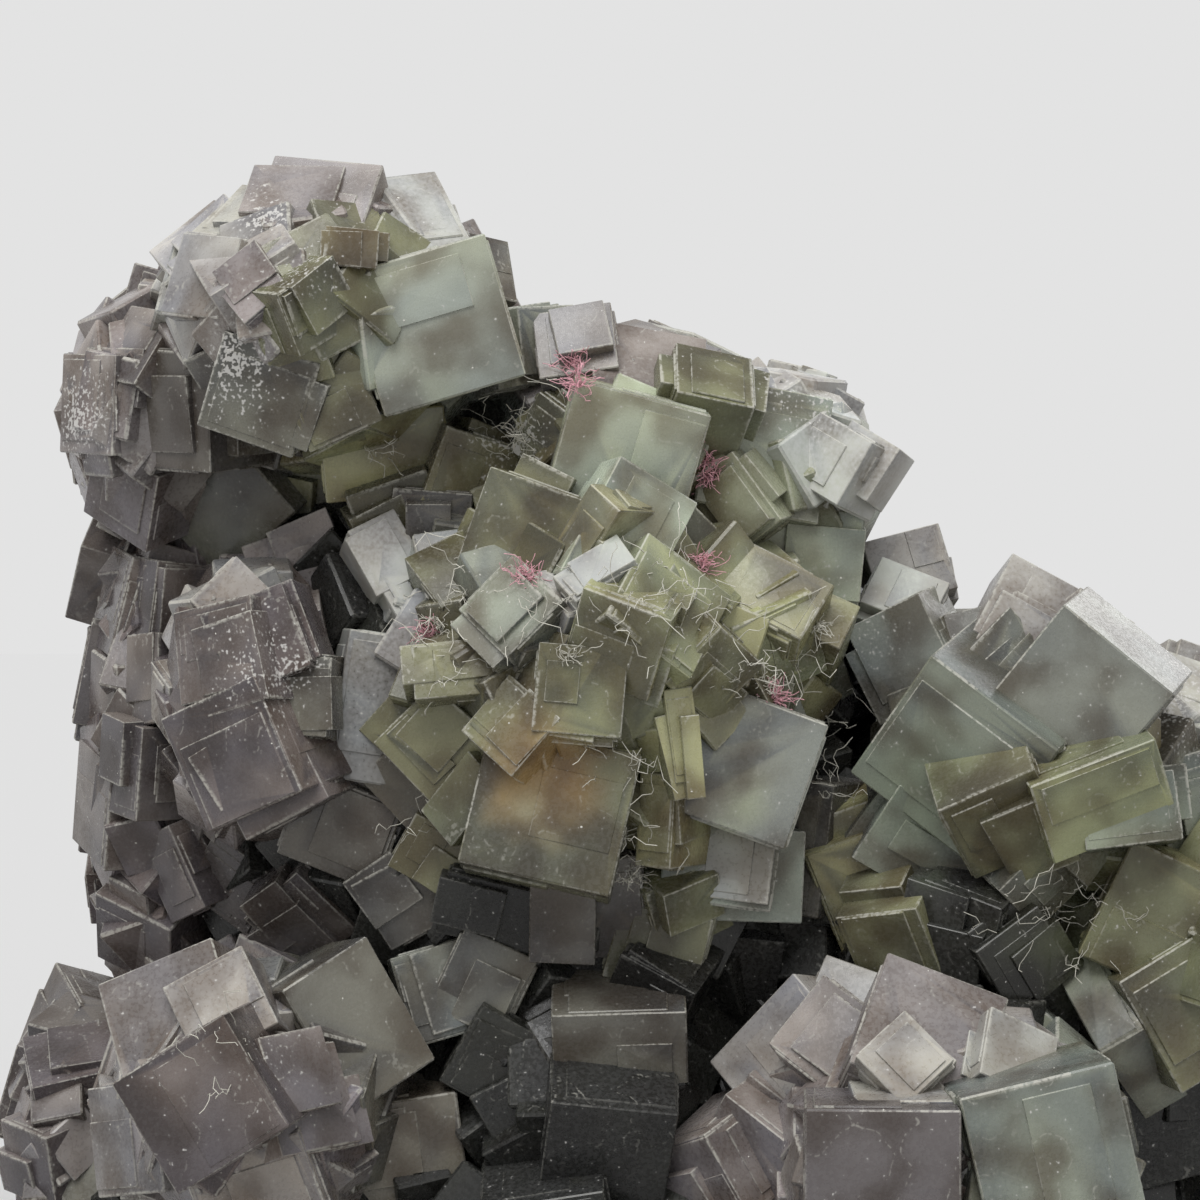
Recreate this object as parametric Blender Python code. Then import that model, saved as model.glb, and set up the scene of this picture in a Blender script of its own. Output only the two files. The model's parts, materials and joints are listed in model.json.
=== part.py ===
"""Fluorite specimen: one intergrown cluster of cubic crystals, cut off flat underneath so that it stands.

The mass is a group of rounded lobes. The crystals of the front are laid out one by one, as they are seen from
EYE, and each slides along its line of sight until it sits on the lobe behind it. The rest of every lobe is
covered by a spiral of crystals of that lobe's own size. All of them are joined into one closed solid.

Metres, +Z up. X runs to the right along the front, Y runs away from the viewer, and the origin is on the flat
underside.
"""

import math
import random

import bmesh
import bpy
from mathutils import Euler, Matrix, Vector

MM = 0.001
NAME = "crystal_cluster"

# The point that the front is laid out from, in mm. "Across" and "up" below are measured on the plane y = 0
EYE = Vector((-15.0, -340.0, 69.0))

# Each lobe, in mm: across, up and depth of its middle, its half width, half height and half depth, then the
# edge of the crystals that cover it, how far apart they stand, and the most that they lean away from facing
# straight out, in degrees
LOBES = {
    "spine": (-40.0, 52.0, 16.0, 21.0, 48.0, 21.0, 14.5, 18.5, 14.0),
    "trunk_left": (-21.0, 52.0, 7.0, 36.0, 42.0, 32.0, 16.0, 19.0, 30.0),
    "trunk_right": (26.0, 35.0, 7.0, 36.0, 29.0, 31.0, 16.5, 20.0, 30.0),
    "foot": (-7.0, 8.0, 3.0, 58.0, 18.0, 33.0, 16.0, 22.0, 30.0),
    "head": (-42.0, 96.0, -6.0, 17.0, 14.5, 25.0, 9.0, 12.0, 9.0),
    "head_left": (-58.0, 87.5, 3.0, 9.5, 13.0, 21.0, 9.0, 11.5, 9.0),
    "ridge": (-12.0, 84.0, 2.0, 15.0, 11.5, 26.0, 7.5, 11.0, 14.0),
    "shoulder": (3.5, 81.0, 4.0, 8.5, 10.5, 23.0, 6.5, 10.5, 12.0),
    "heart": (-16.0, 62.0, -4.0, 24.0, 22.0, 31.0, 7.5, 10.5, 38.0),
    "left_column": (-57.0, 54.0, 13.0, 8.6, 27.0, 25.0, 9.0, 11.0, 14.0),
    "left_rosette": (-49.0, 59.0, -9.0, 9.5, 14.0, 21.0, 6.5, 9.5, 18.0),
    "lower_left": (-49.0, 20.0, -14.0, 15.0, 13.5, 25.0, 8.0, 12.0, 14.0),
    "far_left": (-66.0, 17.5, 14.0, 7.0, 12.0, 19.0, 8.5, 11.5, 12.0),
    "lower_middle": (-17.0, 22.0, 0.0, 18.0, 16.0, 27.0, 9.5, 13.5, 30.0),
    "lower_right": (19.0, 14.5, -20.0, 18.0, 16.5, 30.0, 9.0, 13.0, 18.0),
    "right": (28.0, 52.0, -2.0, 17.5, 15.0, 29.0, 9.0, 12.0, 34.0),
    "right_end": (46.0, 39.0, 0.0, 17.0, 20.0, 30.0, 10.0, 14.5, 34.0),
    "far_right": (61.0, 26.0, 6.0, 12.5, 21.0, 28.0, 12.5, 19.0, 28.0),
}

# The crystals laid out by hand, in mm and degrees: across, up, width, height, roll, yaw, pitch, proud.
# Roll turns the face clockwise, yaw turns it to the right and pitch turns it up. Proud is how far it stands
# out of its lobe
FRONT = {
    "head": (
        (-31.5, 96.5, 14.8, 14.8, -17, 8, -4, 3.9),
        (-35.0, 107.4, 12.0, 12.0, -12, 15, 42, 1.3),
        (-43.6, 108.8, 11.5, 11.5, 8, -8, 35, 1.0),
        (-51.0, 104.0, 10.0, 10.0, 40, -38, 45, 1.3),
        (-50.0, 100.5, 5.8, 5.8, 48, -15, 15, 2.6),
        (-55.0, 101.5, 8.5, 8.5, 8, -38, 15, 2.0),
        (-43.5, 98.0, 7.0, 7.0, -30, 38, -8, 1.6),
        (-49.2, 89.5, 10.2, 10.2, 20, -8, -15, 2.9),
        (-42.0, 89.0, 8.0, 8.0, -25, 8, -8, 2.0),
        (-36.5, 83.5, 12.5, 9.0, -6, 8, -18, 4.6),
        (-39.9, 104.3, 5.4, 3.8, 5, 5, 0, 3.4),
        (-44.5, 79.5, 9.5, 9.5, 12, -15, -15, 2.6),
        (-35.0, 76.8, 8.5, 8.5, -20, 8, -15, 2.2),
        (-27.5, 80.5, 9.5, 9.5, 18, 15, -9, 2.6),
        (-58.5, 88.0, 12.0, 12.0, 5, -38, -8, 2.0),
        (-66.3, 88.6, 10.0, 10.0, 4, -50, 0, 1.3),
        (-53.5, 79.0, 12.5, 12.5, -36, -22, -22, 4.5),
        (-63.0, 79.5, 9.0, 9.0, 30, -40, -18, 1.3),
        (-61.8, 94.6, 8.5, 8.5, 10, -45, 30, 1.3),
        (-27.0, 102.6, 7.6, 7.6, 10, 35, 30, 1.3),
        (-55.5, 105.0, 8.5, 8.5, 35, -38, 40, 0.8),
        (-49.5, 108.0, 8.0, 8.0, 15, -15, 50, 0.6),
        (-22.5, 94.5, 8.0, 8.0, -10, 30, 8, 2.0),
    ),
    "ridge": (
        (-17.5, 95.0, 8.0, 8.0, -10, -8, 30, 1.3),
        (-10.0, 92.0, 11.5, 11.5, 12, 15, 38, 1.6),
        (-12.3, 83.0, 14.0, 13.0, 15, 2, -9, 3.4),
        (-12.0, 75.3, 9.5, 13.5, 30, 20, 4, 3.4),
        (-17.5, 74.5, 4.5, 12.0, 38, -35, 0, 3.2),
        (-23.0, 76.0, 10.0, 10.0, 20, -8, 0, 2.0),
        (-20.0, 85.0, 7.0, 7.0, 35, -30, -8, 1.0),
        (-25.5, 89.0, 9.5, 9.5, 30, 0, 22, 1.0),
        (-0.5, 89.0, 8.0, 8.0, -15, 8, 42, 1.0),
        (-4.5, 86.0, 8.0, 8.0, 15, 0, -42, 2.0),
        (1.5, 84.0, 13.0, 13.0, 10, 15, 8, 2.0),
        (7.8, 83.2, 7.2, 7.2, 28, -33, 12, 2.9),
        (6.0, 73.0, 10.2, 10.2, 3, 3, -6, 6.9),
        (-2.5, 78.0, 8.5, 8.5, -35, -22, -8, 3.0),
        (1.5, 70.5, 12.0, 7.5, 32, 5, 32, 3.6),
    ),
    "heart": (
        (-10.5, 28.5, 8.5, 8.5, 30, -25, -25, 4.0),
        (-6.0, 38.0, 8.0, 8.0, -25, 25, -20, 3.0),
        (-24.0, 56.5, 7.5, 7.5, 38, -20, 15, 3.2),
        (-26.5, 49.5, 6.5, 9.5, 42, -25, 0, 3.4),
        (-9.5, 47.0, 4.0, 9.5, 4, -30, 0, 3.4),
        (-35.0, 72.0, 5.4, 12.0, -27, 12, 18, 3.2),
        (-32.0, 76.0, 8.0, 8.0, 5, 0, -15, 1.3),
        (-37.8, 58.2, 6.8, 15.0, 9, 10, 0, 4.2),
        (-28.0, 62.2, 11.5, 5.5, -5, 0, 15, 2.0),
        (-32.0, 54.5, 8.2, 8.2, 47, -8, -8, 3.6),
        (-34.0, 51.0, 7.5, 7.5, 47, -8, -8, 2.6),
        (-20.0, 48.2, 15.6, 14.6, 13, 0, 9, 5.2),
        (-0.5, 52.5, 13.2, 13.2, 20, 2, 3, 4.2),
        (-1.7, 42.8, 8.0, 7.6, 7, -5, 10, 5.4),
        (-2.8, 44.0, 11.4, 11.0, 8, 0, 5, 4.4),
        (5.5, 44.2, 4.6, 13.6, 8, -30, 0, 4.5),
        (-8.0, 68.5, 11.0, 11.0, 38, 32, 18, 3.6),
        (-13.5, 64.5, 9.5, 9.5, 22, -18, -21, 2.9),
        (-24.0, 68.5, 8.0, 8.0, 40, -22, 22, 2.6),
        (-15.5, 72.0, 7.5, 4.5, -42, -15, 40, 3.9),
        (-17.0, 60.0, 9.0, 9.0, 5, 0, 8, 2.3),
        (-6.6, 55.5, 3.0, 9.5, -8, 15, 0, 2.9),
        (-3.5, 61.5, 8.0, 8.0, 35, 30, -30, 2.4),
        (3.0, 64.0, 9.5, 9.5, -25, 30, -22, 2.2),
        (-16.0, 38.0, 11.0, 11.0, -5, 0, -22, 1.3),
        (-9.0, 34.5, 9.5, 9.5, 15, 0, -15, 2.6),
        (-25.5, 37.5, 11.0, 7.5, 15, -8, -27, 2.0),
        (-34.5, 39.0, 8.0, 8.0, -30, 0, -15, 1.3),
        (-32.0, 43.5, 6.5, 6.5, 30, -8, -15, 2.0),
        (13.0, 40.0, 12.0, 12.0, -20, -8, -15, 1.3),
        (2.0, 35.0, 9.5, 9.5, 3, 0, -22, 1.3),
    ),
    "left_rosette": (
        (-60.5, 61.0, 5.0, 9.0, -8, -52, 5, 3.0),
        (-61.0, 69.0, 5.0, 8.5, 6, -52, 5, 2.5),
        (-57.5, 73.5, 6.0, 9.5, -14, -40, 0, 2.5),
        (-62.5, 52.0, 5.5, 9.5, 8, -52, 0, 2.5),
        (-58.0, 41.5, 6.0, 9.0, -20, -42, -15, 2.5),
        (-52.0, 40.5, 8.0, 8.0, 38, -25, -20, 2.0),
        (-45.0, 36.5, 8.5, 8.5, -40, -15, -25, 2.0),
        (-52.0, 53.5, 12.5, 12.5, -22, -27, -8, 2.3),
        (-48.5, 51.5, 10.0, 10.0, -27, -15, -4, 3.2),
        (-53.5, 64.0, 9.6, 9.6, -12, -30, 8, 2.6),
        (-49.5, 65.0, 9.0, 9.0, -22, -9, 8, 3.0),
        (-51.5, 69.0, 6.5, 6.5, 45, 0, 15, 2.2),
        (-46.0, 72.0, 8.0, 8.0, -20, -8, 8, 2.0),
        (-46.0, 59.5, 8.0, 8.0, 3, -8, 8, 2.7),
        (-41.0, 46.0, 10.5, 9.5, 22, -8, -12, 2.6),
        (-57.0, 49.0, 7.0, 7.0, 40, -45, -22, 2.4),
    ),
    "lower_left": (
        (-58.0, 27.0, 13.0, 13.0, -24, -18, 18, 3.6),
        (-53.0, 28.5, 9.0, 9.0, -30, -9, 18, 4.3),
        (-55.0, 18.5, 13.6, 13.0, -32, -8, 0, 5.5),
        (-39.0, 26.5, 10.6, 14.4, -28, 27, 9, 4.5),
        (-30.5, 30.0, 9.0, 9.0, -15, 8, 8, 2.6),
        (-49.0, 8.5, 12.5, 12.5, -18, 0, -15, 3.9),
        (-35.5, 13.0, 14.0, 12.0, -8, 8, -8, 2.9),
        (-26.5, 31.0, 8.0, 8.0, 25, 0, -8, 2.3),
        (-25.0, 22.5, 9.0, 9.0, 30, 0, -8, 1.0),
        (-62.5, 15.0, 11.0, 11.0, -10, -45, 0, 2.6),
    ),
    "lower_middle": (
        (-14.3, 13.0, 12.8, 12.8, 7, 0, -28, 5.2),
        (-13.0, 24.0, 13.5, 8.0, -2, 0, -20, 3.6),
        (-20.0, 5.0, 12.5, 9.0, -10, 0, -20, 2.6),
    ),
    "right": (
        (20.5, 36.0, 8.5, 8.5, 20, -30, -20, 4.0),
        (27.5, 33.0, 8.0, 8.0, -35, 20, -10, 4.0),
        (14.0, 34.0, 9.0, 9.0, -10, -25, -30, 4.0),
        (29.5, 40.5, 7.5, 7.5, 40, 25, -25, 3.5),
        (52.0, 32.0, 11.0, 11.0, 15, 25, -5, 3.0),
        (46.5, 59.0, 10.0, 10.0, 20, 10, 15, 1.0),
        (50.0, 55.0, 9.0, 9.0, 30, 35, 20, 1.6),
        (20.3, 52.8, 15.8, 15.8, 38, -24, -14, 3.6),
        (21.5, 63.5, 10.5, 8.5, -12, -10, 20, 2.0),
        (32.5, 58.8, 14.0, 14.0, 40, -18, -8, 4.5),
        (35.5, 48.8, 13.5, 9.0, -22, 10, -18, 3.4),
        (26.5, 62.0, 9.5, 9.5, 50, 22, 18, 2.4),
        (12.5, 67.5, 8.0, 8.0, 10, 0, 0, 1.5),
        (28.5, 67.6, 9.5, 9.5, 30, 8, 18, 1.3),
        (15.0, 64.0, 8.6, 8.6, -25, -22, -8, 2.6),
        (15.5, 69.8, 7.4, 5.8, 25, 0, 30, 2.6),
        (16.0, 72.5, 8.0, 7.0, -15, 0, 15, 0.7),
        (17.5, 44.0, 11.5, 9.5, 32, -8, -20, 4.6),
        (25.5, 46.5, 10.5, 10.5, -30, 8, -36, 2.9),
        (38.0, 48.0, 9.8, 7.0, -7, 0, 8, 3.6),
        (36.5, 62.2, 10.5, 10.5, 35, 45, 22, 1.3),
        (41.5, 60.6, 9.5, 9.5, 30, 30, 45, 1.3),
        (44.0, 49.0, 9.0, 9.0, -15, 15, 0, 2.0),
        (41.5, 36.5, 13.0, 13.0, 25, -8, -8, 3.2),
        (45.5, 28.5, 13.0, 13.0, -30, 8, 0, 3.2),
        (34.0, 30.5, 5.0, 15.0, -38, -30, 33, 2.3),
        (43.0, 16.5, 12.0, 12.0, -15, 8, -15, 2.0),
    ),
    "lower_right": (
        (13.3, 10.2, 15.6, 15.6, 0, -3, 0, 6.9),
        (30.5, 13.0, 16.0, 16.4, -13, 3, 0, 6.0),
        (19.8, 13.0, 18.5, 12.0, 0, 0, -4, 0.5),
        (4.0, 22.5, 13.0, 13.0, 43, -30, 8, 4.5),
        (-0.5, 13.0, 10.0, 10.0, 35, -35, -15, 4.5),
        (10.0, 28.5, 8.6, 8.6, 20, -8, 30, 4.5),
        (8.0, 25.5, 9.0, 9.0, 35, -15, 22, 5.9),
        (18.0, 26.0, 13.0, 13.0, 24, 8, 30, 5.2),
        (15.5, 23.2, 7.0, 7.0, 47, 0, 22, 6.5),
        (27.0, 23.5, 8.0, 8.0, 30, 30, 30, 3.6),
        (-5.0, 10.5, 9.0, 9.0, -20, -45, -22, 2.6),
    ),
}

LEDGE_FROM = 14.7  # crystals this wide carry a raised ledge of growth on the face
LEDGE_STEP = 0.55  # how far a ledge stands out of its face
CORE_SHARE = 0.9  # the solid core of a lobe, as a share of the lobe
SPIRAL_TURN = math.pi * (3.0 - math.sqrt(5.0))
SINK = 0.42  # how deep a covering crystal's middle lies below the lobe, as a share of its edge
HIDE_SHARE = 1.2  # a covering crystal is left out behind this share of the face of one laid out by hand
BACK_FROM = 0.1  # crystals that face this much away from the front are fewer, and at least BACK_EDGE wide
BACK_EDGE = 13.5
SEED = 11


def remove_everything():
    for thing in list(bpy.data.objects):
        bpy.data.objects.remove(thing)


def collection(name):
    made = bpy.data.collections.new(name)
    bpy.context.scene.collection.children.link(made)
    return made


def seen_at(across, up, depth):
    """The point at this depth on the line of sight through (across, 0, up), and how much smaller it looks."""
    share = (depth - EYE.y) / -EYE.y
    return EYE + (Vector((across, 0.0, up)) - EYE) * share, share


def lobe_solids():
    """Each lobe as (middle, radii, crystal edge, spacing, tilt), in mm, from the way it is seen."""
    solids = {}
    for name, (across, up, depth, wide, tall, deep, edge, spacing, tilt) in LOBES.items():
        middle, share = seen_at(across, up, depth)
        solids[name] = (middle, Vector((wide * share, deep, tall * share)), edge, spacing, tilt)
    return solids


def unit_distance(point, middle, radii):
    """How far a point is from a lobe's middle, where 1 is on its surface."""
    offset = point - middle
    return Vector((offset.x / radii.x, offset.y / radii.y, offset.z / radii.z)).length


def front_depth(across, up, lobes):
    """The depth at which the line of sight meets the first lobe. The lobes swell until one is met."""
    along, _ = seen_at(across, up, 0.0)
    along = (along - EYE).normalized()
    for swell in (1.0, 1.2, 1.45, 1.8, 2.5):
        nearest = None
        for middle, radii, *_ in lobes.values():
            size = radii * swell
            start = Vector(((EYE - middle)[i] / size[i] for i in range(3)))
            step = Vector((along[i] / size[i] for i in range(3)))
            half_b = start.dot(step)
            inside = half_b * half_b - step.dot(step) * (start.dot(start) - 1.0)
            if inside < 0.0:
                continue
            reach = (-half_b - math.sqrt(inside)) / step.dot(step)
            depth = (EYE + along * reach).y
            if nearest is None or depth < nearest:
                nearest = depth
        if nearest is not None:
            return nearest
    return 0.0


def turned(roll, yaw, pitch):
    """A turn that starts from a face that looks at the viewer, along -Y."""
    return (
        Matrix.Rotation(math.radians(yaw), 4, "Z")
        @ Matrix.Rotation(math.radians(-pitch), 4, "X")
        @ Matrix.Rotation(math.radians(roll), 4, "Y")
    )


def block(face_middle, turn, width, height, depth):
    """A block whose front face has this middle, and which runs back from it."""
    centre = Matrix.Translation((0.0, depth / 2, 0.0))
    return Matrix.Translation(face_middle) @ turn @ centre @ Matrix.Diagonal((width, depth, height, 1.0))


def front_blocks(lobes):
    chance = random.Random(SEED)
    blocks = []
    for group in FRONT.values():
        for across, up, width, height, roll, yaw, pitch, proud in group:
            depth = front_depth(across, up, lobes) - proud
            middle, share = seen_at(across, up, depth)
            turn = turned(roll, yaw, pitch)
            wide, tall = width * share, height * share
            deep = max(wide, tall)
            blocks.append(block(middle, turn, wide, tall, deep))
            if min(width, height) < LEDGE_FROM:
                continue
            cover_x, cover_z = chance.uniform(0.5, 0.75), chance.uniform(0.55, 0.8)
            side_x, side_z = chance.choice((-1, 1)), chance.choice((-1, 1))
            slide = turn @ Vector(
                (side_x * (0.94 - cover_x) * wide / 2, -LEDGE_STEP, side_z * (0.94 - cover_z) * tall / 2)
            )
            blocks.append(block(middle + slide, turn, wide * cover_x, tall * cover_z, deep / 3))
    return blocks


def behind(point, laid_out):
    """Whether a crystal that was laid out by hand hides this point from EYE."""
    for place in laid_out:
        eye, there = place.inverted() @ EYE, place.inverted() @ point
        if eye.y > -0.5 or there.y < -0.5:
            continue
        meets = eye + (there - eye) * ((-0.5 - eye.y) / (there.y - eye.y))
        if abs(meets.x) < HIDE_SHARE / 2 and abs(meets.z) < HIDE_SHARE / 2:
            return True
    return False


def covering_blocks(lobes, laid_out):
    """Crystals on a spiral round each lobe, left out where another crystal or the cut takes their place."""
    chance = random.Random(SEED + 1)
    blocks = []
    for name, (middle, radii, edge, spacing, tilt) in lobes.items():
        size = (radii.x * radii.y * radii.z) ** (1 / 3)
        count = int(4 * math.pi * size * size / (spacing * spacing))
        for index in range(count):
            height = 1.0 - 2.0 * (index + 0.5) / count
            ring = math.sqrt(1.0 - height * height)
            angle = index * SPIRAL_TURN
            way = Vector((ring * math.cos(angle), ring * math.sin(angle), height))
            point = middle + Vector((way.x * radii.x, way.y * radii.y, way.z * radii.z))
            out = Vector((way.x / radii.x, way.y / radii.y, way.z / radii.z)).normalized()
            wide = edge * chance.uniform(0.75, 1.25)
            lean = Euler([math.radians(chance.uniform(-tilt, tilt)) for _ in range(2)] + [0.0])
            spin = Matrix.Rotation(chance.uniform(0.0, math.pi / 2), 4, "Z")
            hidden = any(
                unit_distance(point, other, reach) < 0.93
                for label, (other, reach, *_) in lobes.items()
                if label != name
            )
            if hidden or point.z < -edge / 3 or (out.y < 0.0 and behind(point, laid_out)):
                continue
            if out.y > BACK_FROM:
                if index % 2 and edge < BACK_EDGE:
                    continue
                wide = max(wide, BACK_EDGE)
            face_out = out.to_track_quat("Z", "Y").to_matrix().to_4x4()
            turn = face_out @ lean.to_matrix().to_4x4() @ spin
            place = Matrix.Translation(point - out * wide * SINK)
            blocks.append(place @ turn @ Matrix.Diagonal((wide, wide, wide, 1.0)))
    return blocks


def mesh_object(name, group, build, matrix):
    """A new object whose mesh is made by build(bmesh), placed by a matrix in mm."""
    shape = bmesh.new()
    build(shape)
    mesh = bpy.data.meshes.new(name)
    bmesh.ops.transform(shape, matrix=Matrix.Scale(MM, 4) @ matrix, verts=shape.verts)
    bmesh.ops.recalc_face_normals(shape, faces=shape.faces)
    shape.to_mesh(mesh)
    shape.free()
    thing = bpy.data.objects.new(name, mesh)
    group.objects.link(thing)
    return thing


def as_helper(thing):
    thing.hide_render = True
    thing.display_type = "WIRE"


def cube(shape):
    bmesh.ops.create_cube(shape, size=1.0)


def ball(shape):
    bmesh.ops.create_icosphere(shape, subdivisions=1, radius=1.0)


def boolean(thing, operation, group):
    step = thing.modifiers.new(operation.title(), "BOOLEAN")
    step.operation = operation
    step.operand_type = "COLLECTION"
    step.collection = group


def without_hollows(mesh):
    """Keeps only the outer skin: gaps between crystals that nothing leads to are filled in."""
    shape = bmesh.new()
    shape.from_mesh(mesh)
    unseen = set(shape.verts)
    skins = []
    while unseen:
        skin, edge = set(), [unseen.pop()]
        while edge:
            vert = edge.pop()
            skin.add(vert)
            for link in vert.link_edges:
                other = link.other_vert(vert)
                if other in unseen:
                    unseen.remove(other)
                    edge.append(other)
        skins.append(skin)
    skins.sort(key=len)
    for skin in skins[:-1]:
        bmesh.ops.delete(shape, geom=list(skin), context="VERTS")
    shape.to_mesh(mesh)
    shape.free()


def fluorite():
    """The body colour of the crystals: cloudy grey green."""
    material = bpy.data.materials.new("fluorite")
    material.use_nodes = True
    shader = material.node_tree.nodes["Principled BSDF"]
    shader.inputs["Base Color"].default_value = (0.2, 0.21, 0.17, 1.0)
    shader.inputs["Roughness"].default_value = 0.25
    shader.inputs["IOR"].default_value = 1.434
    shader.inputs["Transmission Weight"].default_value = 0.4
    return material


def main():
    remove_everything()
    parts = collection("fluorite_specimen")
    growth = collection("growth")
    cutters = collection("cutters")
    lobes = lobe_solids()

    below = block(Vector((0, -200, -50)), Matrix(), 400, 100, 400)
    as_helper(mesh_object("ground", cutters, cube, below))

    first, *others = [
        Matrix.Translation(middle) @ Matrix.Diagonal((*(radii * CORE_SHARE), 1.0))
        for middle, radii, *_ in lobes.values()
    ]
    for place in others:
        as_helper(mesh_object("core", growth, ball, place))
    laid_out = front_blocks(lobes)
    for place in laid_out + covering_blocks(lobes, laid_out):
        as_helper(mesh_object("crystal", growth, cube, place))

    grown = mesh_object("grown", parts, ball, first)
    boolean(grown, "UNION", growth)
    boolean(grown, "DIFFERENCE", cutters)
    bpy.context.view_layer.update()
    graph = bpy.context.evaluated_depsgraph_get()
    mesh = bpy.data.meshes.new_from_object(grown.evaluated_get(graph))
    without_hollows(mesh)
    mesh.materials.clear()
    mesh.materials.append(fluorite())
    mesh.name = NAME
    cluster = bpy.data.objects.new(NAME, mesh)
    parts.objects.link(cluster)
    bpy.data.objects.remove(grown)


if __name__ == "__main__":
    main()
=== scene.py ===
"""Fluorite specimen on a plain studio floor, seen as in its photograph.

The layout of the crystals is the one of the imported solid, in mm, with smaller crystals, growth plates and
chipped edges added. Everything that reaches Blender is in metres, +Z up, with the flat underside on z = 0.
"""

import functools
import json
import math
import random

import bpy
from mathutils import Euler, Matrix, Vector

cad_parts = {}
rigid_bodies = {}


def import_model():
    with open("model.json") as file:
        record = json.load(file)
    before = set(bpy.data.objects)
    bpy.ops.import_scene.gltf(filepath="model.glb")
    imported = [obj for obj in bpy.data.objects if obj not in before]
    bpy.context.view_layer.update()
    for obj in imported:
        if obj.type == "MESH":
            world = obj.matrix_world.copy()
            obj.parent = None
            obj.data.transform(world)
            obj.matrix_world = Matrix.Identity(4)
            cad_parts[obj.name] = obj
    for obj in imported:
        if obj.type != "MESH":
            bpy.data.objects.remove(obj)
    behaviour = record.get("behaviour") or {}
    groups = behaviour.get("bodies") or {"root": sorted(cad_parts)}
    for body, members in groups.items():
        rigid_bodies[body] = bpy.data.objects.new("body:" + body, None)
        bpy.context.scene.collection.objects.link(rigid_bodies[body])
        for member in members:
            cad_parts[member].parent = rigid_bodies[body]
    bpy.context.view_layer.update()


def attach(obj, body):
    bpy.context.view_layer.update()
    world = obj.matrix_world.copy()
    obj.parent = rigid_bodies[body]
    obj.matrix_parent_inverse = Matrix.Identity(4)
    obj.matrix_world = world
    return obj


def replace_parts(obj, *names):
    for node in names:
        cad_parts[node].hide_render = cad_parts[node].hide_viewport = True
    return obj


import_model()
NODE = "crystal_cluster"
BODY = "root"
MM = 0.001

bl_info = {
    "name": "Fluorite specimen",
    "version": (1, 0, 0),
    "blender": (4, 5, 0),
    "location": "3D View > Sidebar > Fluorite",
    "description": "Grows an intergrown cluster of fluorite cubes with lint in its crevices",
    "category": "Add Mesh",
}

# The point that the front is laid out from, in mm. "Across" and "up" below are measured on the plane y = 0
EYE = Vector((-15.0, -340.0, 69.0))

# Each lobe, in mm: across, up and depth of its middle, its half width, half height and half depth, then the
# edge of the crystals that cover it, how far apart they stand, the most that they lean away from facing
# straight out, in degrees, and the finish of its crystals
# The darker mauve finish of the shaded left side and the near black finish of the hollows are painted shade
LOBES = {
    "spine": (-40, 52, 16, 21, 48, 21, 14.5, 18.5, 14, "dusk"),
    "trunk_left": (-21, 52, 7, 36, 42, 32, 16, 19, 30, "smoke"),
    "trunk_right": (26, 35, 7, 36, 29, 31, 16.5, 20, 30, "smoke"),
    "foot": (-7, 8, 3, 58, 18, 33, 16, 22, 30, "smoke"),
    "head": (-42, 96, -6, 17, 14.5, 25, 9, 12, 9, "mauve"),
    "head_left": (-58, 87.5, 3, 9.5, 13, 21, 9, 11.5, 9, "mauve"),
    "ridge": (-12, 84, 2, 15, 11.5, 26, 7.5, 11, 14, "pale"),
    "shoulder": (3.5, 81, 4, 8.5, 10.5, 23, 6.5, 10.5, 12, "pale"),
    "heart": (-16, 62, -4, 24, 22, 31, 7.5, 10.5, 38, "olive"),
    "left_column": (-57, 54, 13, 8.6, 27, 25, 9, 11, 14, "dusk"),
    "left_rosette": (-49, 59, -9, 9.5, 14, 21, 6.5, 9.5, 18, "mauve"),
    "lower_left": (-49, 20, -14, 15, 13.5, 25, 8, 12, 14, "mauve"),
    "far_left": (-66, 17.5, 14, 7, 12, 19, 8.5, 11.5, 12, "dusk"),
    "lower_middle": (-17, 22, 0, 18, 16, 27, 9.5, 13.5, 30, "dark"),
    "lower_right": (19, 14.5, -20, 18, 16.5, 30, 9, 13, 18, "pale"),
    "right": (28, 52, -2, 17.5, 15, 29, 9, 12, 34, "slate"),
    "right_end": (46, 39, 0, 17, 20, 30, 10, 14.5, 34, "slate"),
    "far_right": (61, 26, 6, 12.5, 21, 28, 12.5, 19, 28, "slate"),
}
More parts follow.
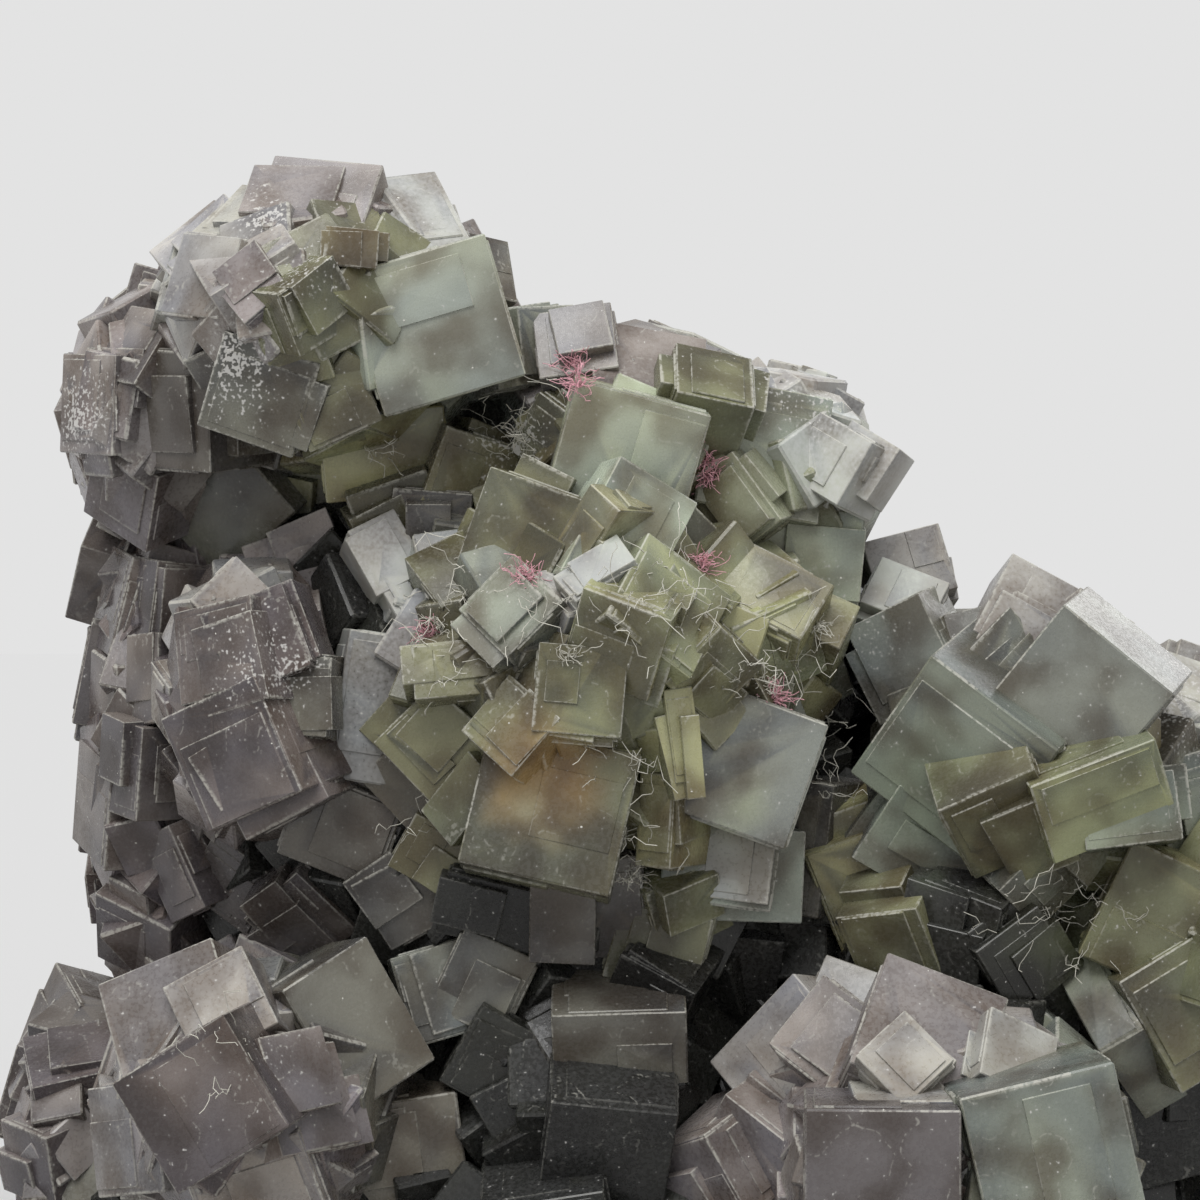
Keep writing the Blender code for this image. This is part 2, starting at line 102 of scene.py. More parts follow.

# The crystals laid out one by one, in mm and degrees: across, up, width, height, roll, yaw, pitch, proud and
# finish. Roll turns the face clockwise, yaw turns it to the right and pitch turns it up. Proud is how far it
# stands out of its lobe
# The darker mauve and near black finishes are painted shade, and the silvery frosted one is partly a painted
# sheen on plates that face the light
FRONT = (
    # Head
    (-31.5, 96.5, 14.8, 14.8, -17, 8, -4, 3.9, "jade"),
    (-35, 107.4, 12, 12, -12, 15, 42, 1.3, "frost_and_painted_sheen"),
    (-43.6, 108.8, 11.5, 11.5, 8, -8, 35, 1, "mauve"),
    (-51, 104, 10, 10, 40, -38, 45, 1.3, "pale"),
    (-50, 100.5, 5.8, 5.8, 48, -15, 15, 2.6, "mauve"),
    (-55, 101.5, 8.5, 8.5, 8, -38, 15, 2, "pale"),
    (-43.5, 98, 7, 7, -30, 38, -8, 1.6, "olive"),
    (-49.2, 89.5, 10.2, 10.2, 20, -8, -15, 2.9, "smoke"),
    (-42, 89, 8, 8, -25, 8, -8, 2, "olive"),
    (-36.5, 83.5, 12.5, 9, -6, 8, -18, 4.6, "yellow"),
    (-39.9, 104.3, 5.4, 3.8, 5, 5, 0, 3.4, "amber"),
    (-44.5, 79.5, 9.5, 9.5, 12, -15, -15, 2.6, "olive"),
    (-35, 76.8, 8.5, 8.5, -20, 8, -15, 2.2, "olive"),
    (-27.5, 80.5, 9.5, 9.5, 18, 15, -9, 2.6, "olive"),
    (-58.5, 88, 12, 12, 5, -38, -8, 2, "smoke"),
    (-66.3, 88.6, 10, 10, 4, -50, 0, 1.3, "mauve"),
    (-53.5, 79, 12.5, 12.5, -36, -22, -22, 4.5, "smoke"),
    (-63, 79.5, 9, 9, 30, -40, -18, 1.3, "mauve"),
    (-61.8, 94.6, 8.5, 8.5, 10, -45, 30, 1.3, "mauve"),
    (-27, 102.6, 7.6, 7.6, 10, 35, 30, 1.3, "smoke"),
    (-55.5, 105, 8.5, 8.5, 35, -38, 40, 0.8, "pale"),
    (-49.5, 108, 8, 8, 15, -15, 50, 0.6, "pale"),
    (-22.5, 94.5, 8, 8, -10, 30, 8, 2, "slate"),
    # Ridge
    (-17.5, 95, 8, 8, -10, -8, 30, 1.3, "mauve"),
    (-10, 92, 11.5, 11.5, 12, 15, 38, 1.6, "mauve"),
    (-12.3, 83, 14, 13, 15, 2, -9, 3.4, "jade"),
    (-12, 75.3, 9.5, 13.5, 30, 20, 4, 3.4, "jade"),
    (-17.5, 74.5, 4.5, 12, 38, -35, 0, 3.2, "yellow"),
    (-23, 76, 10, 10, 20, -8, 0, 2, "olive"),
    (-20, 85, 7, 7, 35, -30, -8, 1, "olive"),
    (-25.5, 89, 9.5, 9.5, 30, 0, 22, 1, "slate"),
    (-0.5, 89, 8, 8, -15, 8, 42, 1, "frost_and_painted_sheen"),
    (-4.5, 86, 8, 8, 15, 0, -42, 2, "olive"),
    (1.5, 84, 13, 13, 10, 15, 8, 2, "jade"),
    (7.8, 83.2, 7.2, 7.2, 28, -33, 12, 2.9, "frost_and_painted_sheen"),
    (6, 73, 10.2, 10.2, 3, 3, -6, 6.9, "jade"),
    (-2.5, 78, 8.5, 8.5, -35, -22, -8, 3, "olive"),
    (1.5, 70.5, 12, 7.5, 32, 5, 32, 3.6, "yellow"),
    # Heart
    (-10.5, 28.5, 8.5, 8.5, 30, -25, -25, 4, "dark"),
    (-6, 38, 8, 8, -25, 25, -20, 3, "olive"),
    (-24, 56.5, 7.5, 7.5, 38, -20, 15, 3.2, "olive"),
    (-26.5, 49.5, 6.5, 9.5, 42, -25, 0, 3.4, "olive"),
    (-9.5, 47, 4, 9.5, 4, -30, 0, 3.4, "yellow"),
    (-35, 72, 5.4, 12, -27, 12, 18, 3.2, "frost_and_painted_sheen"),
    (-32, 76, 8, 8, 5, 0, -15, 1.3, "smoke"),
    (-37.8, 58.2, 6.8, 15, 9, 10, 0, 4.2, "frost_and_painted_sheen"),
    (-28, 62.2, 11.5, 5.5, -5, 0, 15, 2, "olive"),
    (-32, 54.5, 8.2, 8.2, 47, -8, -8, 3.6, "olive"),
    (-34, 51, 7.5, 7.5, 47, -8, -8, 2.6, "smoke"),
    (-20, 48.2, 15.6, 14.6, 13, 0, 9, 5.2, "olive"),
    (-0.5, 52.5, 13.2, 13.2, 20, 2, 3, 4.2, "slate"),
    (-1.7, 42.8, 8, 7.6, 7, -5, 10, 5.4, "frost_and_painted_sheen"),
    (-2.8, 44, 11.4, 11, 8, 0, 5, 4.4, "slate"),
    (5.5, 44.2, 4.6, 13.6, 8, -30, 0, 4.5, "smoke"),
    (-8, 68.5, 11, 11, 38, 32, 18, 3.6, "yellow"),
    (-13.5, 64.5, 9.5, 9.5, 22, -18, -21, 2.9, "yellow"),
    (-24, 68.5, 8, 8, 40, -22, 22, 2.6, "slate"),
    (-15.5, 72, 7.5, 4.5, -42, -15, 40, 3.9, "frost_and_painted_sheen"),
    (-17, 60, 9, 9, 5, 0, 8, 2.3, "olive"),
    (-6.6, 55.5, 3, 9.5, -8, 15, 0, 2.9, "yellow"),
    (-3.5, 61.5, 8, 8, 35, 30, -30, 2.4, "yellow"),
    (3, 64, 9.5, 9.5, -25, 30, -22, 2.2, "yellow"),
    (-16, 38, 11, 11, -5, 0, -22, 1.3, "smoke"),
    (-9, 34.5, 9.5, 9.5, 15, 0, -15, 2.6, "olive"),
    (-25.5, 37.5, 11, 7.5, 15, -8, -27, 2, "dark"),
    (-34.5, 39, 8, 8, -30, 0, -15, 1.3, "smoke"),
    (-32, 43.5, 6.5, 6.5, 30, -8, -15, 2, "olive"),
    (13, 40, 12, 12, -20, -8, -15, 1.3, "yellow"),
    (2, 35, 9.5, 9.5, 3, 0, -22, 1.3, "dark"),
    # Left rosette
    (-60.5, 61, 5, 9, -8, -52, 5, 3, "dusk"),
    (-61, 69, 5, 8.5, 6, -52, 5, 2.5, "dusk"),
    (-57.5, 73.5, 6, 9.5, -14, -40, 0, 2.5, "dusk"),
    (-62.5, 52, 5.5, 9.5, 8, -52, 0, 2.5, "dusk"),
    (-58, 41.5, 6, 9, -20, -42, -15, 2.5, "dusk"),
    (-52, 40.5, 8, 8, 38, -25, -20, 2, "dusk"),
    (-45, 36.5, 8.5, 8.5, -40, -15, -25, 2, "dusk"),
    (-52, 53.5, 12.5, 12.5, -22, -27, -8, 2.3, "dusk"),
    (-48.5, 51.5, 10, 10, -27, -15, -4, 3.2, "dusk"),
    (-53.5, 64, 9.6, 9.6, -12, -30, 8, 2.6, "dusk"),
    (-49.5, 65, 9, 9, -22, -9, 8, 3, "dusk"),
    (-51.5, 69, 6.5, 6.5, 45, 0, 15, 2.2, "pale"),
    (-46, 72, 8, 8, -20, -8, 8, 2, "mauve"),
    (-46, 59.5, 8, 8, 3, -8, 8, 2.7, "smoke"),
    (-41, 46, 10.5, 9.5, 22, -8, -12, 2.6, "smoke"),
    (-57, 49, 7, 7, 40, -45, -22, 2.4, "mauve"),
    # Lower left
    (-58, 27, 13, 13, -24, -18, 18, 3.6, "mauve"),
    (-53, 28.5, 9, 9, -30, -9, 18, 4.3, "pale"),
    (-55, 18.5, 13.6, 13, -32, -8, 0, 5.5, "dusk"),
    (-39, 26.5, 10.6, 14.4, -28, 27, 9, 4.5, "smoke"),
    (-30.5, 30, 9, 9, -15, 8, 8, 2.6, "slate"),
    (-49, 8.5, 12.5, 12.5, -18, 0, -15, 3.9, "mauve"),
    (-35.5, 13, 14, 12, -8, 8, -8, 2.9, "smoke"),
    (-26.5, 31, 8, 8, 25, 0, -8, 2.3, "smoke"),
    (-25, 22.5, 9, 9, 30, 0, -8, 1, "dark"),
    (-62.5, 15, 11, 11, -10, -45, 0, 2.6, "mauve"),
    # Lower middle
    (-14.3, 13, 12.8, 12.8, 7, 0, -28, 5.2, "dark"),
    (-13, 24, 13.5, 8, -2, 0, -20, 3.6, "smoke"),
    (-20, 5, 12.5, 9, -10, 0, -20, 2.6, "dark"),
    # Right
    (20.5, 36, 8.5, 8.5, 20, -30, -20, 4, "dark"),
    (27.5, 33, 8, 8, -35, 20, -10, 4, "dark"),
    (14, 34, 9, 9, -10, -25, -30, 4, "olive"),
    (29.5, 40.5, 7.5, 7.5, 40, 25, -25, 3.5, "slate"),
    (52, 32, 11, 11, 15, 25, -5, 3, "olive"),
    (46.5, 59, 10, 10, 20, 10, 15, 1, "pale"),
    (50, 55, 9, 9, 30, 35, 20, 1.6, "pale"),
    (20.3, 52.8, 15.8, 15.8, 38, -24, -14, 3.6, "slate"),
    (21.5, 63.5, 10.5, 8.5, -12, -10, 20, 2, "smoke"),
    (32.5, 58.8, 14, 14, 40, -18, -8, 4.5, "slate"),
    (35.5, 48.8, 13.5, 9, -22, 10, -18, 3.4, "yellow"),
    (26.5, 62, 9.5, 9.5, 50, 22, 18, 2.4, "slate"),
    (12.5, 67.5, 8, 8, 10, 0, 0, 1.5, "slate"),
    (28.5, 67.6, 9.5, 9.5, 30, 8, 18, 1.3, "pale"),
    (15, 64, 8.6, 8.6, -25, -22, -8, 2.6, "slate"),
    (15.5, 69.8, 7.4, 5.8, 25, 0, 30, 2.6, "frost_and_painted_sheen"),
    (16, 72.5, 8, 7, -15, 0, 15, 0.7, "pale"),
    (17.5, 44, 11.5, 9.5, 32, -8, -20, 4.6, "slate"),
    (25.5, 46.5, 10.5, 10.5, -30, 8, -36, 2.9, "olive"),
    (38, 48, 9.8, 7, -7, 0, 8, 3.6, "slate"),
    (36.5, 62.2, 10.5, 10.5, 35, 45, 22, 1.3, "pale"),
    (41.5, 60.6, 9.5, 9.5, 30, 30, 45, 1.3, "frost_and_painted_sheen"),
    (44, 49, 9, 9, -15, 15, 0, 2, "slate"),
    (41.5, 36.5, 13, 13, 25, -8, -8, 3.2, "yellow"),
    (45.5, 28.5, 13, 13, -30, 8, 0, 3.2, "olive"),
    (34, 30.5, 5, 15, -38, -30, 33, 2.3, "slate"),
    (43, 16.5, 12, 12, -15, 8, -15, 2, "dark"),
    # Lower right
    (13.3, 10.2, 15.6, 15.6, 0, -3, 0, 6.9, "dusk"),
    (30.5, 13, 16, 16.4, -13, 3, 0, 6, "slate"),
    (19.8, 13, 18.5, 12, 0, 0, -4, 0.5, "pale"),
    (4, 22.5, 13, 13, 43, -30, 8, 4.5, "pale"),
    (-0.5, 13, 10, 10, 35, -35, -15, 4.5, "mauve"),
    (10, 28.5, 8.6, 8.6, 20, -8, 30, 4.5, "pale"),
    (8, 25.5, 9, 9, 35, -15, 22, 5.9, "mauve"),
    (18, 26, 13, 13, 24, 8, 30, 5.2, "mauve"),
    (15.5, 23.2, 7, 7, 47, 0, 22, 6.5, "pale"),
    (27, 23.5, 8, 8, 30, 30, 30, 3.6, "pale"),
    (-5, 10.5, 9, 9, -20, -45, -22, 2.6, "mauve"),
)

# Coloured zones inside the clear crystals, partly their own colour zoning and partly painted light: the first
# two are painted shade on the head's left side, the palest a painted glow of light inside. Across, up, radius
# in mm, how strong, and colour as seen
ZONES = (
    (-56, 88, 9, 0.72, (60, 54, 53)),
    (-60, 79, 8, 0.55, (70, 62, 62)),
    (-31, 98, 6.5, 0.55, (150, 154, 145)),
    (-31.5, 90.5, 4.5, 0.5, (128, 129, 98)),
    (-20.4, 51.8, 6.4, 0.85, (140, 112, 68)),
    (-20.6, 47.4, 4, 0.8, (132, 138, 120)),
    (-1, 49.5, 4.4, 0.7, (144, 148, 112)),
    (-12, 75.5, 5, 0.5, (146, 150, 130)),
    (4, 80, 10, 0.5, (142, 146, 126)),
    (18, 50, 8, 0.4, (104, 114, 86)),
    (38, 42, 13, 0.35, (112, 116, 82)),
)

# Painted glints: white patches painted where light glints from rough broken edges: across, up and radius in
# mm
PAINTED_GLINTS = (
    (-51.8, 93.5, 2.6), (-52.3, 90.1, 2.2), (-44.6, 102.3, 2.2), (-48.5, 107.5, 2.2), (-56.5, 105.1, 2.2),
    (-66.8, 87.3, 3.6), (-53.5, 22.5, 3.4), (7, 67, 2.6), (41.5, 60, 5), (5, 91.8, 3.6), (-23, 85, 2.6),
    (-11.8, 41, 1.6), (-48, 63, 3.2),
)

# Where lint and single fibres are caught between the crystals: across and up
PINK_TUFTS = (
    (-17.6, 92.2), (-17.2, 90.6), (-4.4, 81.4), (-4.6, 82.6), (-22.4, 71.2), (-32, 65.6), (2.4, 59.4),
    (-4.8, 72.8),
)
WHITE_TUFTS = (
    (-31, 66.6), (1.4, 60.4), (-18, 63.4), (-11.8, 41.2), (-23, 85.6), (6.6, 66.6),
)
FIBRES = (
    (-22, 87), (-24, 83), (-28, 70), (-30, 64), (-20, 69), (-12, 68), (-8, 73), (-5, 66), (0, 62),
    (5, 63), (-12, 52), (-11, 45), (-33, 47), (7, 57), (30, 38), (34, 36), (28, 40), (-52, 24), (8, 50),
    (-36, 84),
)

DEEP = ("trunk_left", "trunk_right", "foot", "lower_middle")  # lobes whose front is only seen in the hollows
WHOLE_FROM = 12.4  # crystals laid out one by one that are this wide grow no side crystals
DEEP_EDGE = 10.0  # no crystal wider than this grows in the hollows
CORE_SHARE = 0.9  # the solid core of a lobe, as a share of the lobe
SPIRAL_TURN = math.pi * (3.0 - math.sqrt(5.0))
SINK = 0.42  # how deep a covering crystal's middle lies below the lobe, as a share of its edge
COVERED = 0.93  # a covering crystal is left out where it starts within this share of another lobe
SMALL_SINK, SMALL_COVERED = 0.43, 0.97  # the same two shares for the small crystals
HIDE_SHARE = 1.2  # a covering crystal is left out behind this share of the face of a listed crystal
NODE_FAMILIES = ("GeometryNode", "ShaderNode", "FunctionNode")
SEED = 11
RAYS = 24  # rays that tell how open a place is to the light
RAY_REACH = 0.03  # how far they go, in m
PATCH_DEPTH = 2.5  # how deep the middle of a patch of painted glint lies, in mm
BEHIND_FACE = 3.0  # how deep the middle of a coloured zone lies, in mm
WHOLE, LARGE, SMALL, CORE = -1, 0, 1, 2  # kinds: no side crystals, side crystals, no plates either, a core
FROST_AND_SHEEN = {"frost_and_painted_sheen": 0.9, "pale": 0.45, "mauve": 0.25}  # how frosted a finish is; on the plates that face the light the frosting also stands for a painted sheen
LITTLE_FROST = 0.1  # how frosted the other finishes are


def shade(red, green, blue):
    """A colour from 0 to 255 as the eye sees it, as the linear colour that a shader takes."""
    parts = (red / 255, green / 255, blue / 255)
    return tuple(v / 12.92 if v <= 0.04045 else ((v + 0.055) / 1.055) ** 2.4 for v in parts)


def colour(name, description, *seen):
    return bpy.props.FloatVectorProperty(
        name=name, description=description, subtype="COLOR", size=3, min=0.0, max=1.0, default=shade(*seen)
    )


def length(name, description, in_mm):
    return bpy.props.FloatProperty(
        name=name, description=description, subtype="DISTANCE", unit="LENGTH", min=0.0, default=in_mm * MM
    )


def number(name, description, default, least=0):
    return bpy.props.IntProperty(name=name, description=description, default=default, min=least)


class FluoriteGrowth(bpy.types.PropertyGroup):
    bevel: bpy.props.FloatProperty(
        name="Worn edge", description="Width of a worn edge, as a share of the side", default=0.013, min=0
    )
    plate_step: length("Plate step", "How far a growth plate stands out of its face", 0.2)
    plates: number("Plates", "Growth plates on each crystal", 3)
    twins: number("Side crystals", "Side crystals on each crystal", 2)
    filler_edge: length("Filler crystal", "Side of the small crystals between the large ones", 6.4)
    filler_gap: length("Filler spacing", "How far apart the small crystals stand", 6.2)
    seed: number("Seed", "Number that the random growth starts from", SEED)


class FluoriteColours(bpy.types.PropertyGroup):
    jade: colour("Jade", "Luminous grey green of the clearest cubes", 146, 149, 136)
    # Painted sheen: a lighter colour, with heavy frosting, for the frosted plates that face the light
    frost_and_painted_sheen: colour("Silver", "Frosted plates that face the light", 141, 141, 139)
    pale: colour("Pale", "Pale grey mauve crystals", 134, 130, 128)
    mauve: colour("Mauve", "Grey mauve skin of the outer lobes", 112, 104, 104)
    # Painted shade: a darker mauve for the crystals of the shaded left side, standing for the shade that
    # falls there
    dusk: colour("Dusk", "Darker mauve skin of the shaded side", 88, 80, 80)
    smoke: colour("Smoke", "Dark smoky crystals", 88, 85, 80)
    slate: colour("Slate", "Blue-grey crystals", 108, 110, 104)
    olive: colour("Olive", "Olive green crystals of the middle", 96, 94, 74)
    yellow: colour("Yellow", "Yellow green crystals of the heart", 120, 118, 91)
    amber: colour("Amber", "Brownish gold window between the plates of the head", 106, 98, 76)
    # Painted shade: near black for the crystals in the hollows, where shade falls
    dark: colour("Dark", "Near black crystals in the hollows", 28, 28, 25)
    absorbed: colour("Absorption", "Tint of light that has gone through the crystal", 150, 165, 130)


class FluoriteLint(bpy.types.PropertyGroup):
    tuft_count: number("Fibres a tuft", "Fibres in each tuft of lint", 46, 1)
    tuft_reach: length("Tuft reach", "How far the fibres of a tuft start from its middle", 1.3)
    tuft_length: length("Tuft fibre", "Longest fibre in a tuft", 2.2)
    fibre_count: number("Single fibres", "Fibres round each place", 11, 1)
    fibre_reach: length("Fibre reach", "How far the single fibres lie from each place", 5.5)
    fibre_length: length("Fibre length", "Longest single fibre", 5.5)
    thickness: length("Fibre radius", "Half the thickness of a fibre", 0.042)
    speck: length("Speck", "Largest speck of dust", 0.13)
    specks: bpy.props.FloatProperty(
        name="Specks", description="Specks for each square metre", default=9000.0, min=0.0
    )
    pink: colour("Pink lint", "Pink fibres of the tufts", 222, 168, 178)
    white: colour("White lint", "White fibres", 205, 202, 190)
    dust: colour("Dust", "Pale specks of dust", 206, 204, 196)
    seed: number("Lint seed", "Number that the lint starts from", SEED)


class FluoriteStage(bpy.types.PropertyGroup):
    floor: colour("Floor", "Plain floor", 253, 253, 253)
    backdrop: colour("Backdrop", "Plain backdrop", 227, 227, 227)
    floor_size: length("Floor size", "Side of the floor", 8000.0)


def seen_at(across, up, depth):
    """The point at this depth on the line of sight through (across, 0, up), and how much smaller it looks."""
    smaller = (depth - EYE.y) / -EYE.y
    return EYE + (Vector((across, 0.0, up)) - EYE) * smaller, smaller


def lobe_solids():
    """Each lobe as (middle, radii, crystal edge, spacing, lean, finish), in mm, from the way it is seen."""
    solids = {}
    for name, (across, up, depth, wide, tall, deep, edge, spacing, lean, finish) in LOBES.items():
        middle, smaller = seen_at(across, up, depth)
        solids[name] = (middle, Vector((wide * smaller, deep, tall * smaller)), edge, spacing, lean, finish)
    return solids


def unit_distance(point, middle, radii):
    """How far a point is from a lobe's middle, where 1 is on its surface."""
    offset = point - middle
    return Vector((offset.x / radii.x, offset.y / radii.y, offset.z / radii.z)).length


def front_depth(across, up, lobes):
    """The depth at which the line of sight meets the first lobe. The lobes swell until one is met."""
    along, _ = seen_at(across, up, 0.0)
    along = (along - EYE).normalized()
    for swell in (1.0, 1.2, 1.45, 1.8, 2.5):
        nearest = None
        for middle, radii, *_ in lobes.values():
            size = radii * swell
            start = Vector(((EYE - middle)[i] / size[i] for i in range(3)))
            step = Vector((along[i] / size[i] for i in range(3)))
            half_b = start.dot(step)
            inside = half_b * half_b - step.dot(step) * (start.dot(start) - 1.0)
            if inside < 0.0:
                continue
            reach = (-half_b - math.sqrt(inside)) / step.dot(step)
            depth = (EYE + along * reach).y
            if nearest is None or depth < nearest:
                nearest = depth
        if nearest is not None:
            return nearest
    return 0.0


def turned(roll, yaw, pitch):
    """A turn that starts from a face that looks at the viewer, along -Y."""
    return (
        Matrix.Rotation(math.radians(yaw), 4, "Z")
        @ Matrix.Rotation(math.radians(-pitch), 4, "X")
        @ Matrix.Rotation(math.radians(roll), 4, "Y")
    )


def front_crystals(lobes):
    """The crystals laid out one by one, each as (middle, turn, sides, finish, kind)."""
    crystals = []
    for across, up, width, height, roll, yaw, pitch, proud, finish in FRONT:
        face, smaller = seen_at(across, up, front_depth(across, up, lobes) - proud)
        turn = turned(roll, yaw, pitch).to_3x3()
        wide, tall = width * smaller, height * smaller
        deep = max(wide, tall)
        kind = WHOLE if max(width, height) >= WHOLE_FROM else LARGE
        middle = face + turn @ Vector((0, deep / 2, 0))
        crystals.append((middle, turn, Vector((wide, deep, tall)), finish, kind))
    return crystals


def behind(point, laid_out):
    """Whether a crystal that was laid out one by one hides this point from EYE."""
    for place in laid_out:
        eye, there = place @ EYE, place @ point
        if eye.y > -0.5 or there.y < -0.5:
            continue
        meets = eye + (there - eye) * ((-0.5 - eye.y) / (there.y - eye.y))
        if abs(meets.x) < HIDE_SHARE / 2 and abs(meets.z) < HIDE_SHARE / 2:
            return True
    return False


def covering_crystals(lobes, laid_out, near, chance, sink, inside, fixed=None):
    """Crystals on a spiral round each lobe, left out where another crystal or the cut takes their place.

    With near given, each takes the finish of the nearest of those. Fixed is one edge and spacing for all.
    """
    hiding = [
        (Matrix.Translation(middle) @ turn.to_4x4() @ Matrix.Diagonal((*sides, 1.0))).inverted()
        for middle, turn, sides, *_ in laid_out
    ]
    crystals = []
    for name, (middle, radii, edge, spacing, tilt, finish) in lobes.items():
        edge, spacing = fixed or (edge, spacing)
        size = (radii.x * radii.y * radii.z) ** (1 / 3)
        count = int(4 * math.pi * size * size / (spacing * spacing))
        for index in range(count):
            height = 1.0 - 2.0 * (index + 0.5) / count
            ring = math.sqrt(1.0 - height * height)
            angle = index * SPIRAL_TURN
            way = Vector((ring * math.cos(angle), ring * math.sin(angle), height))
            point = middle + Vector((way.x * radii.x, way.y * radii.y, way.z * radii.z))
            out = Vector((way.x / radii.x, way.y / radii.y, way.z / radii.z)).normalized()
            wide = edge * chance.uniform(0.75, 1.25)
            lean = Euler([math.radians(chance.uniform(-tilt, tilt)) for _ in range(2)] + [0.0])
            spin = Matrix.Rotation(chance.uniform(0.0, math.pi / 2), 3, "Z")
            others = (other for label, other in lobes.items() if label != name)
            hidden = any(unit_distance(point, other[0], other[1]) < inside for other in others)
            if hidden or point.z < -edge / 3 or (out.y < 0.0 and behind(point, hiding)):
                continue
            turn = out.to_track_quat("Z", "Y").to_matrix() @ lean.to_matrix() @ spin
            shown = finish
            # The front of the deep lobes, seen only in the hollows, gets the near black finish as painted
            # shade
            if name in DEEP and point.y < 4.0:
                if edge > DEEP_EDGE:
                    continue
                shown = "dark"
            elif near and out.y < 0.3:
                shown = min(near, key=lambda c: (c[0] - point).length_squared)[3]
                if shown == "amber":
                    shown = "olive"
            crystals.append((point - out * wide * sink, turn, Vector((wide, wide, wide)), shown))
    return crystals


def new_node(tree, kind, inputs=None, **settings):
    """Adds a node with these settings, and sets or links its inputs, which are named or numbered.

    Its kind is given without the family that it belongs to.
    """
    names = (family + kind for family in NODE_FAMILIES)
    made = tree.nodes.new(next(name for name in names if hasattr(bpy.types, name)))
    for name, value in settings.items():
        setattr(made, name, value)
    for key, value in (inputs or {}).items():
        named = isinstance(key, str)
        socket = next(s for s in made.inputs if s.enabled and s.name == key) if named else made.inputs[key]
        for each in value if isinstance(value, list) else [value]:
            if isinstance(each, bpy.types.NodeSocket):
                tree.links.new(each, socket)
            else:
                socket.default_value = each
    return made


def out(made, name=None):
    """The named output of a node, or its first one that is in use."""
    return next(s for s in made.outputs if s.enabled and name in (None, s.name))


def new_output(tree, kind, inputs=None, **settings):
    return out(new_node(tree, kind, inputs, **settings))


def new_maths(tree, operation, *values, clamp=False):
    return new_output(tree, "Math", dict(enumerate(values)), operation=operation, use_clamp=clamp)


def new_vectors(tree, operation, *values):
    return new_output(tree, "VectorMath", dict(enumerate(values)), operation=operation)


def new_random(tree, seed, low, high, salt):
    """A random number between two numbers, whole or not, or a random vector between two vectors."""
    kind = {int: "INT", float: "FLOAT", tuple: "FLOAT_VECTOR"}[type(low)]
    limits = {"Min": low, "Max": high, "Seed": new_maths(tree, "ADD", seed, salt)}
    return new_output(tree, "RandomValue", limits, data_type=kind)


def tools(tree):
    """The functions that add to this tree a node, a node's output, maths and vector maths."""
    return [functools.partial(make, tree) for make in (new_node, new_output, new_maths, new_vectors)]


def geometry_tree(name, sizes):
    """An empty geometry tree with a geometry input and these named inputs: {name: (socket kind, value)}."""
    tree = bpy.data.node_groups.new(name, "GeometryNodeTree")
    tree.is_modifier = True
    tree.interface.new_socket("Geometry", in_out="INPUT", socket_type="NodeSocketGeometry")
    tree.interface.new_socket("Geometry", in_out="OUTPUT", socket_type="NodeSocketGeometry")
    for label, (kind, value) in sizes.items():
        socket = tree.interface.new_socket(label, in_out="INPUT", socket_type=kind)
        if value is not None:
            socket.default_value = value
    return tree, tree.nodes.new("NodeGroupInput"), tree.nodes.new("NodeGroupOutput")


def grown_mesh(source, tree, sizes, name):
    """The plain mesh that the tree makes from the source object, which is removed."""
    grow = source.modifiers.new("Growth", "NODES")
    grow.node_group = tree
    for socket in tree.interface.items_tree:
        if socket.item_type == "SOCKET" and socket.in_out == "INPUT" and socket.name in sizes:
            grow[socket.identifier] = sizes[socket.name]
    bpy.context.view_layer.update()
    mesh = bpy.data.meshes.new_from_object(source.evaluated_get(bpy.context.evaluated_depsgraph_get()))
    source.modifiers.clear()
    bpy.data.objects.remove(source)
    mesh.name = name
    return mesh


